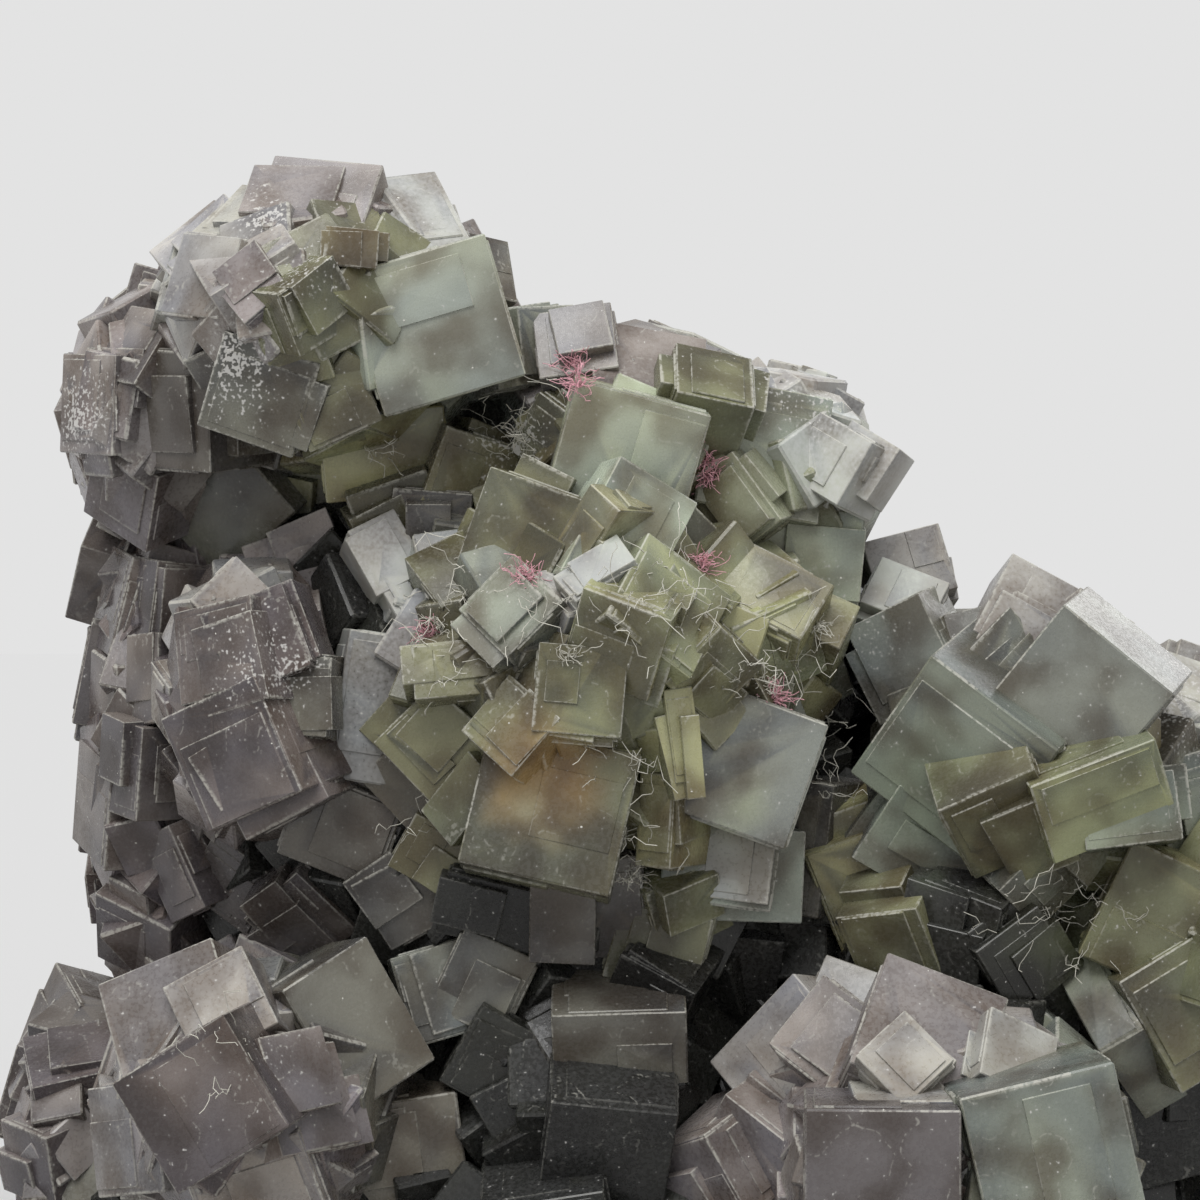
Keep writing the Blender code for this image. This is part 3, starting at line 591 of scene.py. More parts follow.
def crystal_tree(lobes):
    """Grows the whole cluster from one point for each crystal and core."""
    tree, given, end = geometry_tree(
        "grow_crystals",
        {
            "Worn Edge": ("NodeSocketFloat", 0.014),
            "Plate Step": ("NodeSocketFloat", 0.0002),
            "Plates": ("NodeSocketInt", 3),
            "Side Crystals": ("NodeSocketInt", 2),
            "Seed": ("NodeSocketInt", SEED),
            "Material": ("NodeSocketMaterial", None),
        },
    )
    node, add, maths, vectors = tools(tree)
    chance = functools.partial(new_random, tree, given.outputs["Seed"])
    points = given.outputs["Geometry"]

    def attribute(name, form):
        return add("InputNamedAttribute", {"Name": name}, data_type=form)

    def store(geometry, name, form, value, domain="POINT"):
        inputs = {"Geometry": geometry, "Name": name, "Value": value}
        return add("StoreNamedAttribute", inputs, data_type=form, domain=domain)

    def cube(worn):
        inner = maths("MULTIPLY_ADD", worn, -2.0, 1.0)
        boxes = []
        for axis in range(3):
            sides = node("CombineXYZ", {i: 1.0 if i == axis else inner for i in range(3)})
            boxes.append(add("MeshCube", {"Size": out(sides)}))
        joined = add("JoinGeometry", {"Geometry": boxes})
        hull = add("ConvexHull", {"Geometry": joined})
        return store(hull, "local", "FLOAT_VECTOR", add("InputPosition"))

    def planted(where, what, selection=True):
        return add(
            "InstanceOnPoints",
            {
                "Points": where,
                "Selection": selection,
                "Instance": what,
                "Rotation": attribute("turn", "QUATERNION"),
                "Scale": attribute("size", "FLOAT_VECTOR"),
            },
        )

    size, turn = attribute("size", "FLOAT_VECTOR"), attribute("turn", "QUATERNION")
    kind = attribute("kind", "FLOAT")
    core = add("Compare", {"A": kind, "B": 1.5}, operation="GREATER_THAN")
    large = add("Compare", {"A": kind, "B": 0.5}, operation="LESS_THAN")
    single = add("BooleanMath", {0: core}, operation="NOT")
    whole = add("Compare", {"A": kind, "B": -0.5}, operation="LESS_THAN")
    branching = add("BooleanMath", {0: large, 1: whole}, operation="NIMPLY")

    # Growth plates: thin slabs on the faces, each narrower than its crystal and pushed to one side of it
    plates = add(
        "DuplicateElements",
        {"Geometry": points, "Selection": large, "Amount": given.outputs["Plates"]},
    )
    axis = chance(0, 2, 1)
    thick = node(
        "CombineXYZ",
        {i: add("Compare", {"A": axis, "B": i}, data_type="INT", operation="EQUAL") for i in range(3)},
    )
    part = chance((0.35,) * 3, (0.9,) * 3, 2)
    step = maths("MULTIPLY", given.outputs["Plate Step"], chance(0.6, 2.4, 3))
    wide = vectors("MULTIPLY", size, part)
    tall = vectors("ADD", size, out(node("CombineXYZ", {0: step, 1: step, 2: step})))
    plate_size = add(
        "Mix",
        {"Factor": out(thick), "A": wide, "B": tall},
        data_type="VECTOR",
        factor_mode="NON_UNIFORM",
    )
    room = vectors("SUBTRACT", size, wide)
    slide = vectors("MULTIPLY", room, chance((-0.48,) * 3, (0.48,) * 3, 4))
    flat = vectors("SUBTRACT", (1.0, 1.0, 1.0), out(thick))
    slide = vectors("MULTIPLY", slide, flat)
    slide = add("RotateVector", {"Vector": slide, "Rotation": turn})
    plates = add("SetPosition", {"Geometry": plates, "Offset": slide})
    plates = store(plates, "size", "FLOAT_VECTOR", plate_size)

    # Side crystals: nearly parallel to the one that they grow on, and out at its corners
    twins = add(
        "DuplicateElements",
        {"Geometry": points, "Selection": branching, "Amount": given.outputs["Side Crystals"]},
    )
    aside = vectors("MULTIPLY", size, chance((-0.3,) * 3, (0.3,) * 3, 5))
    aside = add("RotateVector", {"Vector": aside, "Rotation": turn})
    twins = add("SetPosition", {"Geometry": twins, "Offset": aside})
    nudge = add("EulerToRotation", {"Euler": chance((-0.11,) * 3, (0.11,) * 3, 6)})
    shrunk = vectors("MULTIPLY", size, chance((0.55,) * 3, (0.95,) * 3, 7))
    twins = store(twins, "size", "FLOAT_VECTOR", shrunk)
    both = {"Rotation": turn, "Rotate By": nudge}
    nudged = add("RotateRotation", both, rotation_space="LOCAL")
    twins = store(twins, "turn", "QUATERNION", nudged)

    worn = given.outputs["Worn Edge"]
    big, small = cube(worn), cube(maths("MULTIPLY", worn, 2.5))
    ball = add("MeshIcoSphere", {"Radius": 1.0, "Subdivisions": 2})
    ball = store(ball, "local", "FLOAT_VECTOR", add("InputPosition"))
    little = add("BooleanMath", {0: single, 1: large}, operation="NIMPLY")
    pieces = [planted(points, big, large), planted(points, small, little), planted(points, ball, core)]
    pieces += [planted(plates, big), planted(twins, big)]
    growth = add("JoinGeometry", {"Geometry": pieces})

    joined = add("MeshBoolean", {"Mesh": growth}, operation="UNION", solver="MANIFOLD")
    ground = add("MeshCube", {"Size": (0.5, 0.5, 0.1)})
    ground = add("Transform", {"Geometry": ground, "Translation": (0.0, 0.0, -0.05)})
    cut = add("MeshBoolean", {0: joined, 1: ground}, operation="DIFFERENCE", solver="MANIFOLD")

    # Only the outer skin stays: gaps that nothing leads to are filled in
    island = out(node("InputMeshIsland"), "Island Index")
    count = out(node("AccumulateField", {"Value": 1.0, "Group ID": island}), "Total")
    most = out(node("AttributeStatistic", {"Geometry": cut, "Attribute": count}), "Max")
    inner = add("Compare", {"A": count, "B": most}, operation="LESS_THAN")
    skin = add("DeleteGeometry", {"Geometry": cut, "Selection": inner})

    # Each corner learns which crystal it lies on, a little way in from its edge
    realized = add("RealizeInstances", {"Geometry": growth})
    place = add("InputPosition")
    middle, normal = (
        add("FieldOnDomain", {"Value": field}, domain="FACE", data_type="FLOAT_VECTOR")
        for field in (place, add("InputNormal"))
    )
    near = add("Mix", {"Factor": 0.04, "A": place, "B": middle}, data_type="VECTOR")
    forms = {"local": "FLOAT_VECTOR", "size": "FLOAT_VECTOR", "tint": "FLOAT_COLOR", "frost": "FLOAT"}
    for name, form in forms.items():
        nearest = {"Mesh": realized, "Value": attribute(name, form), "Sample Position": near}
        skin = store(skin, name, form, add("SampleNearestSurface", nearest, data_type=form), "CORNER")

    # How open each corner is to the light from above and in front, from rays that leave the surface
    start = vectors("MULTIPLY_ADD", normal, (0.00005,) * 3, near)
    seen = 0.0
    for index in range(RAYS):
        height = 1.0 - 2.0 * (index + 0.5) / RAYS
        ring, angle = math.sqrt(1.0 - height * height), index * SPIRAL_TURN
        way = (ring * math.cos(angle), ring * math.sin(angle), height)
        facing = maths("MULTIPLY", vectors("DOT_PRODUCT", normal, way), 1.0 + 0.6 * height)
        facing = maths("MAXIMUM", facing, 0.0)
        cast = {"Source Position": start, "Ray Direction": way, "Ray Length": RAY_REACH}
        ray = node("Raycast", {"Target Geometry": skin, **cast})
        free = maths("SUBTRACT", 1.0, out(ray, "Is Hit"))
        seen = maths("MULTIPLY_ADD", facing, free, seen)
    seen = maths("DIVIDE", seen, RAYS / 4.0)
    skin = store(skin, "open", "FLOAT", seen, "CORNER")

    # How much each corner belongs to a patch of painted glint, white where light glints from broken edges
    patch = 0.0
    for across, up, radius in PAINTED_GLINTS:
        middle, _ = seen_at(across, up, front_depth(across, up, lobes) - PATCH_DEPTH)
        gap = add("VectorMath", {0: near, 1: middle * MM}, operation="DISTANCE")
        nearness = maths("MULTIPLY_ADD", gap, -0.5 / (radius * MM), 1.0, clamp=True)
        patch = maths("MAXIMUM", patch, nearness)
    skin = store(skin, "patch", "FLOAT", patch, "CORNER")
    skin = add("RealizeInstances", {"Geometry": skin})
    skin = add("SetMaterial", {"Geometry": skin, "Material": given.outputs["Material"]})
    tree.links.new(skin, end.inputs[0])
    return tree


def fibre_tree():
    """Lays curled fibres on the crystals, a number of them round each point that it is given."""
    tree, given, end = geometry_tree(
        "lay_fibres",
        {
            "Crystals": ("NodeSocketObject", None),
            "Count": ("NodeSocketInt", 40),
            "Reach": ("NodeSocketFloat", 0.002),
            "Length": ("NodeSocketFloat", 0.002),
            "Lift": ("NodeSocketFloat", 1.0),
            "Curl": ("NodeSocketFloat", 0.5),
            "Thickness": ("NodeSocketFloat", 0.00004),
            "Seed": ("NodeSocketInt", SEED),
            "Material": ("NodeSocketMaterial", None),
        },
    )
    node, add, maths, vectors = tools(tree)
    inputs = given.outputs
    chance = functools.partial(new_random, tree, inputs["Seed"])

    crystals = out(node("ObjectInfo", {"Object": inputs["Crystals"]}), "Geometry")
    starts = add("DuplicateElements", {"Geometry": inputs["Geometry"], "Amount": inputs["Count"]})
    spread = vectors("MULTIPLY", chance((-1.0,) * 3, (1.0,) * 3, 1), chance((0.0,) * 3, (1.0,) * 3, 2))
    spread = add("VectorMath", {"Vector": spread, "Scale": inputs["Reach"]}, operation="SCALE")
    starts = add("SetPosition", {"Geometry": starts, "Offset": spread})
    surface, normal = (
        add(
            "SampleNearestSurface",
            {"Mesh": crystals, "Sample Position": add("InputPosition"), "Value": add(value)},
            data_type="FLOAT_VECTOR",
        )
        for value in ("InputPosition", "InputNormal")
    )
    for name, value in (("way", normal), ("own", chance((-0.02,) * 3, (0.02,) * 3, 3))):
        kept = {"Geometry": starts, "Name": name, "Value": value}
        starts = add("StoreNamedAttribute", kept, data_type="FLOAT_VECTOR")
    way = add("InputNamedAttribute", {"Name": "way"}, data_type="FLOAT_VECTOR")
    own = add("InputNamedAttribute", {"Name": "own"}, data_type="FLOAT_VECTOR")
    clear = vectors("MULTIPLY_ADD", normal, (0.00012,) * 3, surface)
    starts = add("SetPosition", {"Geometry": starts, "Position": clear})

    lifted = add("VectorMath", {"Vector": way, "Scale": inputs["Lift"]}, operation="SCALE")
    heading = vectors("ADD", lifted, chance((-1.0,) * 3, (1.0,) * 3, 4))
    turn = add("AlignRotationToVector", {"Vector": heading}, axis="Z")
    line = add("CurvePrimitiveLine", {"Start": (0.0, 0.0, 0.0), "End": (0.0, 0.0, 1.0)})
    line = add("ResampleCurve", {"Curve": line, "Count": 8})
    reach = maths("MULTIPLY", inputs["Length"], chance(0.35, 1.0, 5))
    fibres = add("InstanceOnPoints", {"Points": starts, "Instance": line, "Rotation": turn, "Scale": reach})
    fibres = add("RealizeInstances", {"Geometry": fibres})
    somewhere = vectors("ADD", add("InputPosition"), own)
    bend = out(node("TexNoise", {"Vector": somewhere, "Scale": 520.0, "Detail": 1.0}), "Color")
    bend = vectors("SUBTRACT", bend, (0.5,) * 3)
    along = out(node("SplineParameter"), "Factor")
    amount = maths("MULTIPLY", inputs["Curl"], inputs["Length"])
    amount = maths("MULTIPLY", amount, maths("SQRT", along))
    bend = add("VectorMath", {"Vector": bend, "Scale": amount}, operation="SCALE")
    fibres = add("SetPosition", {"Geometry": fibres, "Offset": bend})
    ring = add("CurvePrimitiveCircle", {"Resolution": 3, "Radius": inputs["Thickness"]})
    fibres = add("CurveToMesh", {"Curve": fibres, "Profile Curve": ring, "Fill Caps": True})
    fibres = add("RealizeInstances", {"Geometry": fibres})
    fibres = add("SetMaterial", {"Geometry": fibres, "Material": inputs["Material"]})
    tree.links.new(fibres, end.inputs[0])
    return tree


def dust_tree():
    """Scatters flat specks over the geometry that it is given."""
    tree, given, end = geometry_tree(
        "lay_dust",
        {
            "Density": ("NodeSocketFloat", 9000.0),
            "Speck": ("NodeSocketFloat", 0.0001),
            "Seed": ("NodeSocketInt", SEED),
            "Material": ("NodeSocketMaterial", None),
        },
    )
    node, add, maths, vectors = tools(tree)
    inputs = given.outputs
    chance = functools.partial(new_random, tree, inputs["Seed"])

    upright = node("SeparateXYZ", {0: add("InputNormal")})
    dusty = add("Compare", {"A": upright.outputs[2], "B": -0.6}, operation="GREATER_THAN")
    spread = {"Mesh": inputs["Geometry"], "Selection": dusty, "Seed": inputs["Seed"]}
    places = node("DistributePointsOnFaces", {**spread, "Density": inputs["Density"]})
    grain = add("MeshIcoSphere", {"Radius": 1.0, "Subdivisions": 1})
    size = add(
        "VectorMath",
        {"Vector": chance((0.3, 0.3, 0.2), (1.0, 1.0, 0.4), 6), "Scale": inputs["Speck"]},
        operation="SCALE",
    )
    points, turn = out(places, "Points"), out(places, "Rotation")
    laid = {"Points": points, "Instance": grain, "Rotation": turn, "Scale": size}
    specks = add("InstanceOnPoints", laid)
    specks = add("RealizeInstances", {"Geometry": specks})
    specks = add("SetMaterial", {"Geometry": specks, "Material": inputs["Material"]})
    tree.links.new(specks, end.inputs[0])
    return tree


def lint_material(name, seen, rough):
    """A matt fibre or grain, darker and lighter in turns."""
    material = bpy.data.materials.new(name)
    material.use_nodes = True
    tree = material.node_tree
    node, *_ = tools(tree)
    shader = tree.nodes["Principled BSDF"]
    place = out(node("TexCoord"), "Object")
    spots = node("TexNoise", {"Vector": place, "Scale": 900.0, "Detail": 2.0})
    dark, light = ((*(min(1.0, c * factor) for c in seen), 1.0) for factor in (0.55, 1.25))
    paint = node("Mix", {"Factor": out(spots), "A": dark, "B": light}, data_type="RGBA")
    tree.links.new(out(paint), shader.inputs["Base Color"])
    dull = node("MapRange", {"Value": out(spots), "To Min": rough - 0.15, "To Max": rough + 0.1})
    tree.links.new(out(dull), shader.inputs["Roughness"])
    return material


def spots_on(piece, places):
    """A mesh with one point where the line of sight through each (across, up) meets the piece."""
    found = []
    for across, up in places:
        along = (Vector((across, 0.0, up)) - EYE).normalized()
        hit, where, *_ = piece.ray_cast(EYE * MM, along)
        if not hit:
            raise RuntimeError(f"nothing to lay lint on at {across}, {up}")
        found.append(tuple(where))
    mesh = bpy.data.meshes.new("spots")
    mesh.from_pydata(found, [], [])
    source = bpy.data.objects.new("spots", mesh)
    bpy.context.scene.collection.objects.link(source)
    return source


def keep_piece(mesh, name):
    """Makes the finished mesh a piece that rides on the solid."""
    if not mesh.polygons:
        raise RuntimeError(f"{name} came out empty")
    piece = bpy.data.objects.new(name, mesh)
    bpy.context.scene.collection.objects.link(piece)
    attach(piece, BODY)
    mesh.calc_loop_triangles()
    print(name, "triangles", len(mesh.loop_triangles))
    return piece


def seed_points(crystals, cores, colours):
    """A mesh of one point for each crystal and core, which carries what the growth tree reads."""
    chance = random.Random(SEED + 7)
    mesh = bpy.data.meshes.new("seed_points")
    everything = crystals + cores
    mesh.from_pydata([tuple(m * MM) for m, *_ in everything], [], [])
    turns, sizes, tints, frosts, kinds = [], [], [], [], []
    for _, turn, sides, finish, kind in everything:
        turns += list(turn.to_quaternion())
        sizes += list(sides * MM)
        light = chance.uniform(0.88, 1.14)
        tints += [min(1.0, c * light * chance.uniform(0.97, 1.03)) for c in getattr(colours, finish)]
        tints.append(chance.random())
        frosts.append(FROST_AND_SHEEN.get(finish, LITTLE_FROST) * chance.uniform(0.5, 1.3))
        kinds.append(float(kind))
    for name, form, values in (
        ("turn", "QUATERNION", turns),
        ("size", "FLOAT_VECTOR", sizes),
        ("tint", "FLOAT_COLOR", tints),
        ("frost", "FLOAT", frosts),
        ("kind", "FLOAT", kinds),
    ):
        data = mesh.attributes.new(name, form, "POINT").data
        field = {"FLOAT_VECTOR": "vector", "FLOAT_COLOR": "color"}.get(form, "value")
        data.foreach_set(field, values)
    source = bpy.data.objects.new("seed_points", mesh)
    bpy.context.scene.collection.objects.link(source)
    return source


def fluorite_material(colours, lobes):
    """Cloudy crystal with pale worn edges, partly a painted highlight, and some frosted plates, partly a
    painted sheen.
    """
    material = bpy.data.materials.new("fluorite")
    material.use_nodes = True
    tree = material.node_tree
    node, add, maths, vectors = tools(tree)
    shader = tree.nodes["Principled BSDF"]
    shader.inputs["IOR"].default_value = 1.434
    shader.inputs["Transmission Weight"].default_value = 0.15

    def stored(name, output="Fac"):
        return out(node("Attribute", attribute_name=name), output)

    place = out(node("TexCoord"), "Object")
    local, size = stored("local", "Vector"), stored("size", "Vector")
    tint, number = stored("tint", "Color"), stored("tint", "Alpha")
    frost, sky, painted_glint_mask = stored("frost"), stored("open"), stored("patch")

    def mix(factor, first, second):
        second = (*second, 1.0) if isinstance(second, tuple) else second
        return out(node("Mix", {"Factor": factor, "A": first, "B": second}, data_type="RGBA"))

    def between(value, low, high, start=0.0, end=1.0):
        ends = {"Value": value, "From Min": low, "From Max": high, "To Min": start, "To Max": end}
        return add("MapRange", ends, interpolation_type="SMOOTHSTEP")

    def noise(where, scale, detail, rough):
        inputs = {"Vector": where, "Scale": scale, "Detail": detail, "Roughness": rough}
        return add("TexNoise", inputs)

    # How near the surface point is to an edge of its own crystal: the middle one of its three distances
    parts = node("SeparateXYZ", {0: vectors("ABSOLUTE", local)})
    x, y, z = parts.outputs
    low, high = maths("MINIMUM", x, y), maths("MAXIMUM", x, y)
    off_middle = maths("MAXIMUM", low, maths("MINIMUM", high, z))
    sides = node("SeparateXYZ", {0: size})
    side = maths("MAXIMUM", maths("MAXIMUM", sides.outputs[0], sides.outputs[1]), sides.outputs[2])
    from_edge = maths("MULTIPLY", maths("SUBTRACT", 0.5, off_middle), side)
    grown = vectors("MULTIPLY", local, size)

    # Each face of each crystal drifts from one colour to another, its own way
    facing = vectors("FLOOR", vectors("MULTIPLY_ADD", local, (1.02,) * 3, (0.5,) * 3))
    facing = node("TexWhiteNoise", {"Vector": facing, "W": number}, noise_dimensions="4D")
    leaning = vectors("SUBTRACT", out(facing, "Color"), (0.5,) * 3)
    slope = out(node("VectorMath", {0: local, 1: leaning}, operation="DOT_PRODUCT"), "Value")
    dim, bright = vectors("MULTIPLY", tint, (0.6, 0.62, 0.68)), vectors("MULTIPLY", tint, (1.36, 1.34, 1.2))
    base = mix(between(slope, -0.3, 0.3), dim, bright)

    # Coloured zones within the crystals, with wavy limits: their own colour zoning, with painted shade in the
    # two dark ones and a painted glow in the palest ones
    cloud = noise(place, 170.0, 1.5, 0.6)
    wavy = vectors("MULTIPLY_ADD", cloud, (0.006,) * 3, place)
    for across, up, radius, strength, seen in ZONES:
        middle, _ = seen_at(across, up, front_depth(across, up, lobes) - BEHIND_FACE)
        middle = (middle * MM) + Vector((0.003,) * 3)
        gap = out(node("VectorMath", {0: wavy, 1: middle}, operation="DISTANCE"), "Value")
        near = between(gap, radius * 1.25 * MM, radius * 0.25 * MM, 0.0, strength)
        base = mix(near, base, shade(*seen))

    # Cloudy in blotches
    cloudy = between(cloud, 0.34, 0.66)
    base = vectors("MULTIPLY", base, mix(cloudy, (0.62, 0.55, 0.48, 1.0), (1.4, 1.45, 1.45)))

    # Squares over which the width of the worn edges changes
    veil = vectors("FLOOR", vectors("MULTIPLY_ADD", grown, (210.0,) * 3, (0.4, 0.1, 0.7)))
    veil = node("TexWhiteNoise", {"Vector": veil, "W": number}, noise_dimensions="4D")
    veil = node("SeparateXYZ", {0: out(veil, "Color")})
    fine = noise(place, 2400.0, 1.0, 0.7)

    # Frost on the silvery plates, partly a painted sheen; painted glints on broken edges, mixed with white
    # specks; and pale worn edges, painted lighter as a highlight where they stand open to the light
    frost_and_sheen_mask = maths("MULTIPLY", between(fine, 0.2, 0.8, 0.3, 1.0), frost, clamp=True)
    base = mix(maths("MULTIPLY", frost_and_sheen_mask, 0.5), base, shade(200, 200, 200))
    specks_and_painted_glint = maths("MULTIPLY_ADD", painted_glint_mask, 0.32, fine)
    base = mix(between(specks_and_painted_glint, 0.72, 0.8, 0.0, 0.75), base, shade(204, 202, 198))
    broken = between(fine, 0.35, 0.55, 0.2, 1.0)
    rim = between(veil.outputs[1], 0.35, 0.9, 0.0001, 0.0005)
    edge = maths("SUBTRACT", 1.0, between(from_edge, maths("MULTIPLY", rim, 0.5), rim))
    edge = maths("MULTIPLY", edge, broken)
    # Painted highlight and shade: the pale edges are painted lighter where the corner stands open to the
    # light and fainter in the hollows
    edge = maths("MULTIPLY", edge, between(sky, 0.15, 0.6, 0.15, 1.0))
    paleness = node("SeparateColor", {"Color": tint}).outputs["Green"]
    edge = maths("MULTIPLY", edge, between(paleness, 0.01, 0.1, 0.2, 1.0))
    base = mix(maths("MULTIPLY", edge, 0.65), base, shade(190, 188, 178))

    # Curly scratches, along the places where the cloudiness has the same strength, painted only where the
    # corner stands open to the light, so painted shade hides them in the hollows
    scratch = between(maths("ABSOLUTE", maths("SUBTRACT", cloud, 0.5)), 0.006, 0.002)
    scratch = maths("MULTIPLY", scratch, between(fine, 0.48, 0.6, 0.0, 0.4))
    base = mix(maths("MULTIPLY", scratch, sky), base, shade(186, 184, 174))
    tree.links.new(base, shader.inputs["Base Color"])

    rough = maths("ADD", between(fine, 0.35, 0.7, 0.2, 0.36), maths("MULTIPLY", frost_and_sheen_mask, 0.3))
    rough = maths("ADD", rough, maths("MULTIPLY", edge, 0.25), clamp=True)
    tree.links.new(rough, shader.inputs["Roughness"])

    terrace = maths("FRACT", maths("MULTIPLY_ADD", from_edge, 900.0, maths("MULTIPLY", number, 5.0)))
    bump = node("Bump", {"Strength": 0.25, "Distance": 0.0001, "Height": terrace})
    tree.links.new(out(bump), shader.inputs["Normal"])

    inside = node("VolumeAbsorption", {"Color": (*colours.absorbed, 1.0), "Density": 260.0})
    tree.links.new(out(inside), tree.nodes["Material Output"].inputs["Volume"])
    return material


class FLUORITE_OT_crystals(bpy.types.Operator):
    """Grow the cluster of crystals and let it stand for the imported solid"""

    bl_idname = "fluorite.crystals"
    bl_label = "Grow the crystals"

    def execute(self, context):
        growth, colours = context.scene.fluorite_growth, context.scene.fluorite_colours
        lobes = lobe_solids()
        laid_out = front_crystals(lobes)
        chance = random.Random(growth.seed + 1)
        cover = covering_crystals(lobes, laid_out, [], chance, SINK, COVERED)
        small = (growth.filler_edge / MM, growth.filler_gap / MM)
        filler = covering_crystals(lobes, [], laid_out, chance, SMALL_SINK, SMALL_COVERED, small)
        crystals = laid_out + [(*c, LARGE) for c in cover] + [(*c, SMALL) for c in filler]
        straight = Matrix.Identity(3)
        # The cores are finished near black: painted shade where they show in the gaps between the crystals
        cores = [(middle, straight, radii * CORE_SHARE, "dark", CORE) for middle, radii, *_ in lobes.values()]
        source = seed_points(crystals, cores, colours)
        sizes = {
            "Worn Edge": growth.bevel,
            "Plate Step": growth.plate_step,
            "Plates": growth.plates,
            "Side Crystals": growth.twins,
            "Seed": growth.seed,
            "Material": fluorite_material(colours, lobes),
        }
        mesh = grown_mesh(source, crystal_tree(lobes), sizes, "fluorite_crystals")
        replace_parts(keep_piece(mesh, "fluorite_crystals"), NODE)
        return {"FINISHED"}


class FLUORITE_OT_lint(bpy.types.Operator):
    """Lay tufts of lint and single fibres in the crevices"""

    bl_idname = "fluorite.lint"
    bl_label = "Lay the lint"

    def execute(self, context):
        lint = context.scene.fluorite_lint
        crystals = bpy.data.objects["fluorite_crystals"]
        tree = fibre_tree()
        tuft = (lint.tuft_reach, lint.tuft_length, 0.9, 1.6)
        single = (lint.fibre_reach, lint.fibre_length, 0.35, 1.1)
        for name, places, finish, count, (reach, longest, lift, curl) in (
            ("lint_pink", PINK_TUFTS, lint.pink, lint.tuft_count, tuft),
            ("lint_white", WHITE_TUFTS, lint.white, lint.tuft_count // 2, tuft),
            ("fibres", FIBRES, lint.white, lint.fibre_count, single),
        ):
            sizes = {
                "Crystals": crystals,
                "Count": count,
                "Reach": reach,
                "Length": longest,
                "Lift": lift,
                "Curl": curl,
                "Thickness": lint.thickness,
                "Seed": lint.seed,
                "Material": lint_material(name, finish, 0.7),
            }
            keep_piece(grown_mesh(spots_on(crystals, places), tree, sizes, name), name)
        return {"FINISHED"}


class FLUORITE_OT_dust(bpy.types.Operator):
    """Scatter specks of dust over the crystals"""

    bl_idname = "fluorite.dust"
    bl_label = "Scatter the dust"

    def execute(self, context):
        lint = context.scene.fluorite_lint
        source = bpy.data.objects.new("ground", bpy.data.objects["fluorite_crystals"].data.copy())
        context.scene.collection.objects.link(source)
        sizes = {
            "Density": lint.specks,
            "Speck": lint.speck,
            "Seed": lint.seed,
            "Material": lint_material("dust", lint.dust, 0.8),
        }
        keep_piece(grown_mesh(source, dust_tree(), sizes, "dust"), "dust")
        return {"FINISHED"}


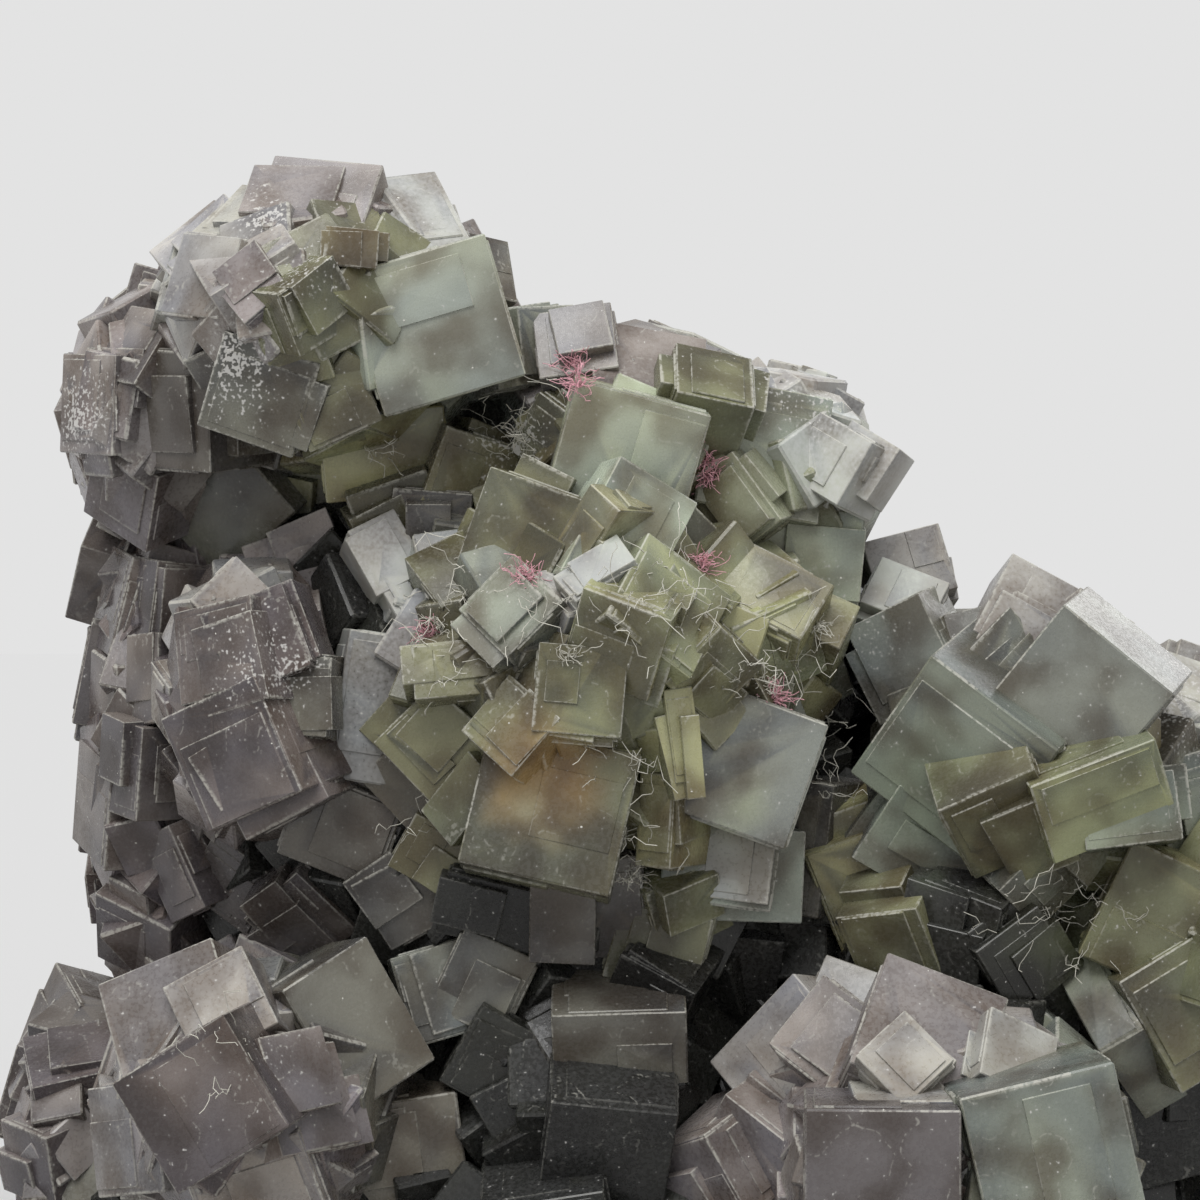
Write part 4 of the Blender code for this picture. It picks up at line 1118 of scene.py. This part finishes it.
class FLUORITE_OT_stage(bpy.types.Operator):
    """Set out the plain floor, the soft lights and the camera"""

    bl_idname = "fluorite.stage"
    bl_label = "Set the stage"

    def execute(self, context):
        stage = context.scene.fluorite_stage
        scene = context.scene
        half = stage.floor_size / 2
        mesh = bpy.data.meshes.new("floor")
        corners = [(-half, -half, 0), (half, -half, 0), (half, half, 0), (-half, half, 0)]
        mesh.from_pydata(corners, [], [(0, 1, 2, 3)])
        floor = bpy.data.objects.new("floor", mesh)
        scene.collection.objects.link(floor)
        paint = bpy.data.materials.new("floor_paint")
        paint.use_nodes = True
        shader = paint.node_tree.nodes["Principled BSDF"]
        shader.inputs["Base Color"].default_value = (*stage.floor, 1.0)
        shader.inputs["Roughness"].default_value = 0.9
        shader.inputs["Specular IOR Level"].default_value = 0.0
        mesh.materials.append(paint)

        world = bpy.data.worlds.new("studio")
        world.use_nodes = True
        sky = world.node_tree.nodes["Background"]
        sky.inputs["Color"].default_value = (*stage.backdrop, 1.0)
        sky.inputs["Strength"].default_value = 1.0
        scene.world = world
        scene.view_settings.view_transform = "Standard"

        aim = Vector((0.0, 0.0, 0.055))
        lit = bpy.data.collections.new("lit_by_lamps")
        for piece in scene.objects:
            if piece.type == "MESH" and piece is not floor:
                lit.objects.link(piece)
        for name, where, side, power in (
            ("overhead", (-0.15, -0.42, 0.75), 0.6, 7.0),
            ("rim", (0.4, 0.6, 0.5), 0.5, 1.2),
        ):
            light = bpy.data.lights.new(name, "AREA")
            light.shape, light.size, light.energy = "SQUARE", side, power
            lamp = bpy.data.objects.new(name, light)
            lamp.location = where
            lamp.rotation_euler = (aim - lamp.location).to_track_quat("-Z", "Y").to_euler()
            lamp.light_linking.receiver_collection = lit
            scene.collection.objects.link(lamp)

        view = bpy.data.cameras.new("view")
        view.lens, view.sensor_width = 102.0, 36.0
        view.clip_start, view.clip_end = 0.01, 50.0
        camera = bpy.data.objects.new("view", view)
        camera.location = EYE * MM
        camera.rotation_euler = (math.pi / 2, 0.0, 0.0)
        scene.collection.objects.link(camera)
        scene.camera = camera
        return {"FINISHED"}


class FLUORITE_PT_panel(bpy.types.Panel):
    """Sizes, colours and steps of the fluorite specimen"""

    bl_idname = "FLUORITE_PT_panel"
    bl_label = "Fluorite specimen"
    bl_space_type = "VIEW_3D"
    bl_region_type = "UI"
    bl_category = "Fluorite"

    def draw(self, context):
        for title in GROUPS:
            group = getattr(context.scene, title)
            column = self.layout.column()
            for name in group.__annotations__:
                column.prop(group, name)
        for operator in OPERATORS:
            self.layout.operator(operator.bl_idname)


GROUPS = {
    "fluorite_growth": FluoriteGrowth,
    "fluorite_colours": FluoriteColours,
    "fluorite_lint": FluoriteLint,
    "fluorite_stage": FluoriteStage,
}
OPERATORS = (FLUORITE_OT_crystals, FLUORITE_OT_lint, FLUORITE_OT_dust, FLUORITE_OT_stage)


def register():
    for group in (*GROUPS.values(), *OPERATORS, FLUORITE_PT_panel):
        bpy.utils.register_class(group)
    for name, group in GROUPS.items():
        setattr(bpy.types.Scene, name, bpy.props.PointerProperty(type=group))


def unregister():
    for name in GROUPS:
        delattr(bpy.types.Scene, name)
    for group in reversed((*GROUPS.values(), *OPERATORS, FLUORITE_PT_panel)):
        bpy.utils.unregister_class(group)


def main():
    register()
    bpy.ops.fluorite.crystals()
    bpy.ops.fluorite.lint()
    bpy.ops.fluorite.dust()
    bpy.ops.fluorite.stage()


if __name__ == "__main__":
    main()
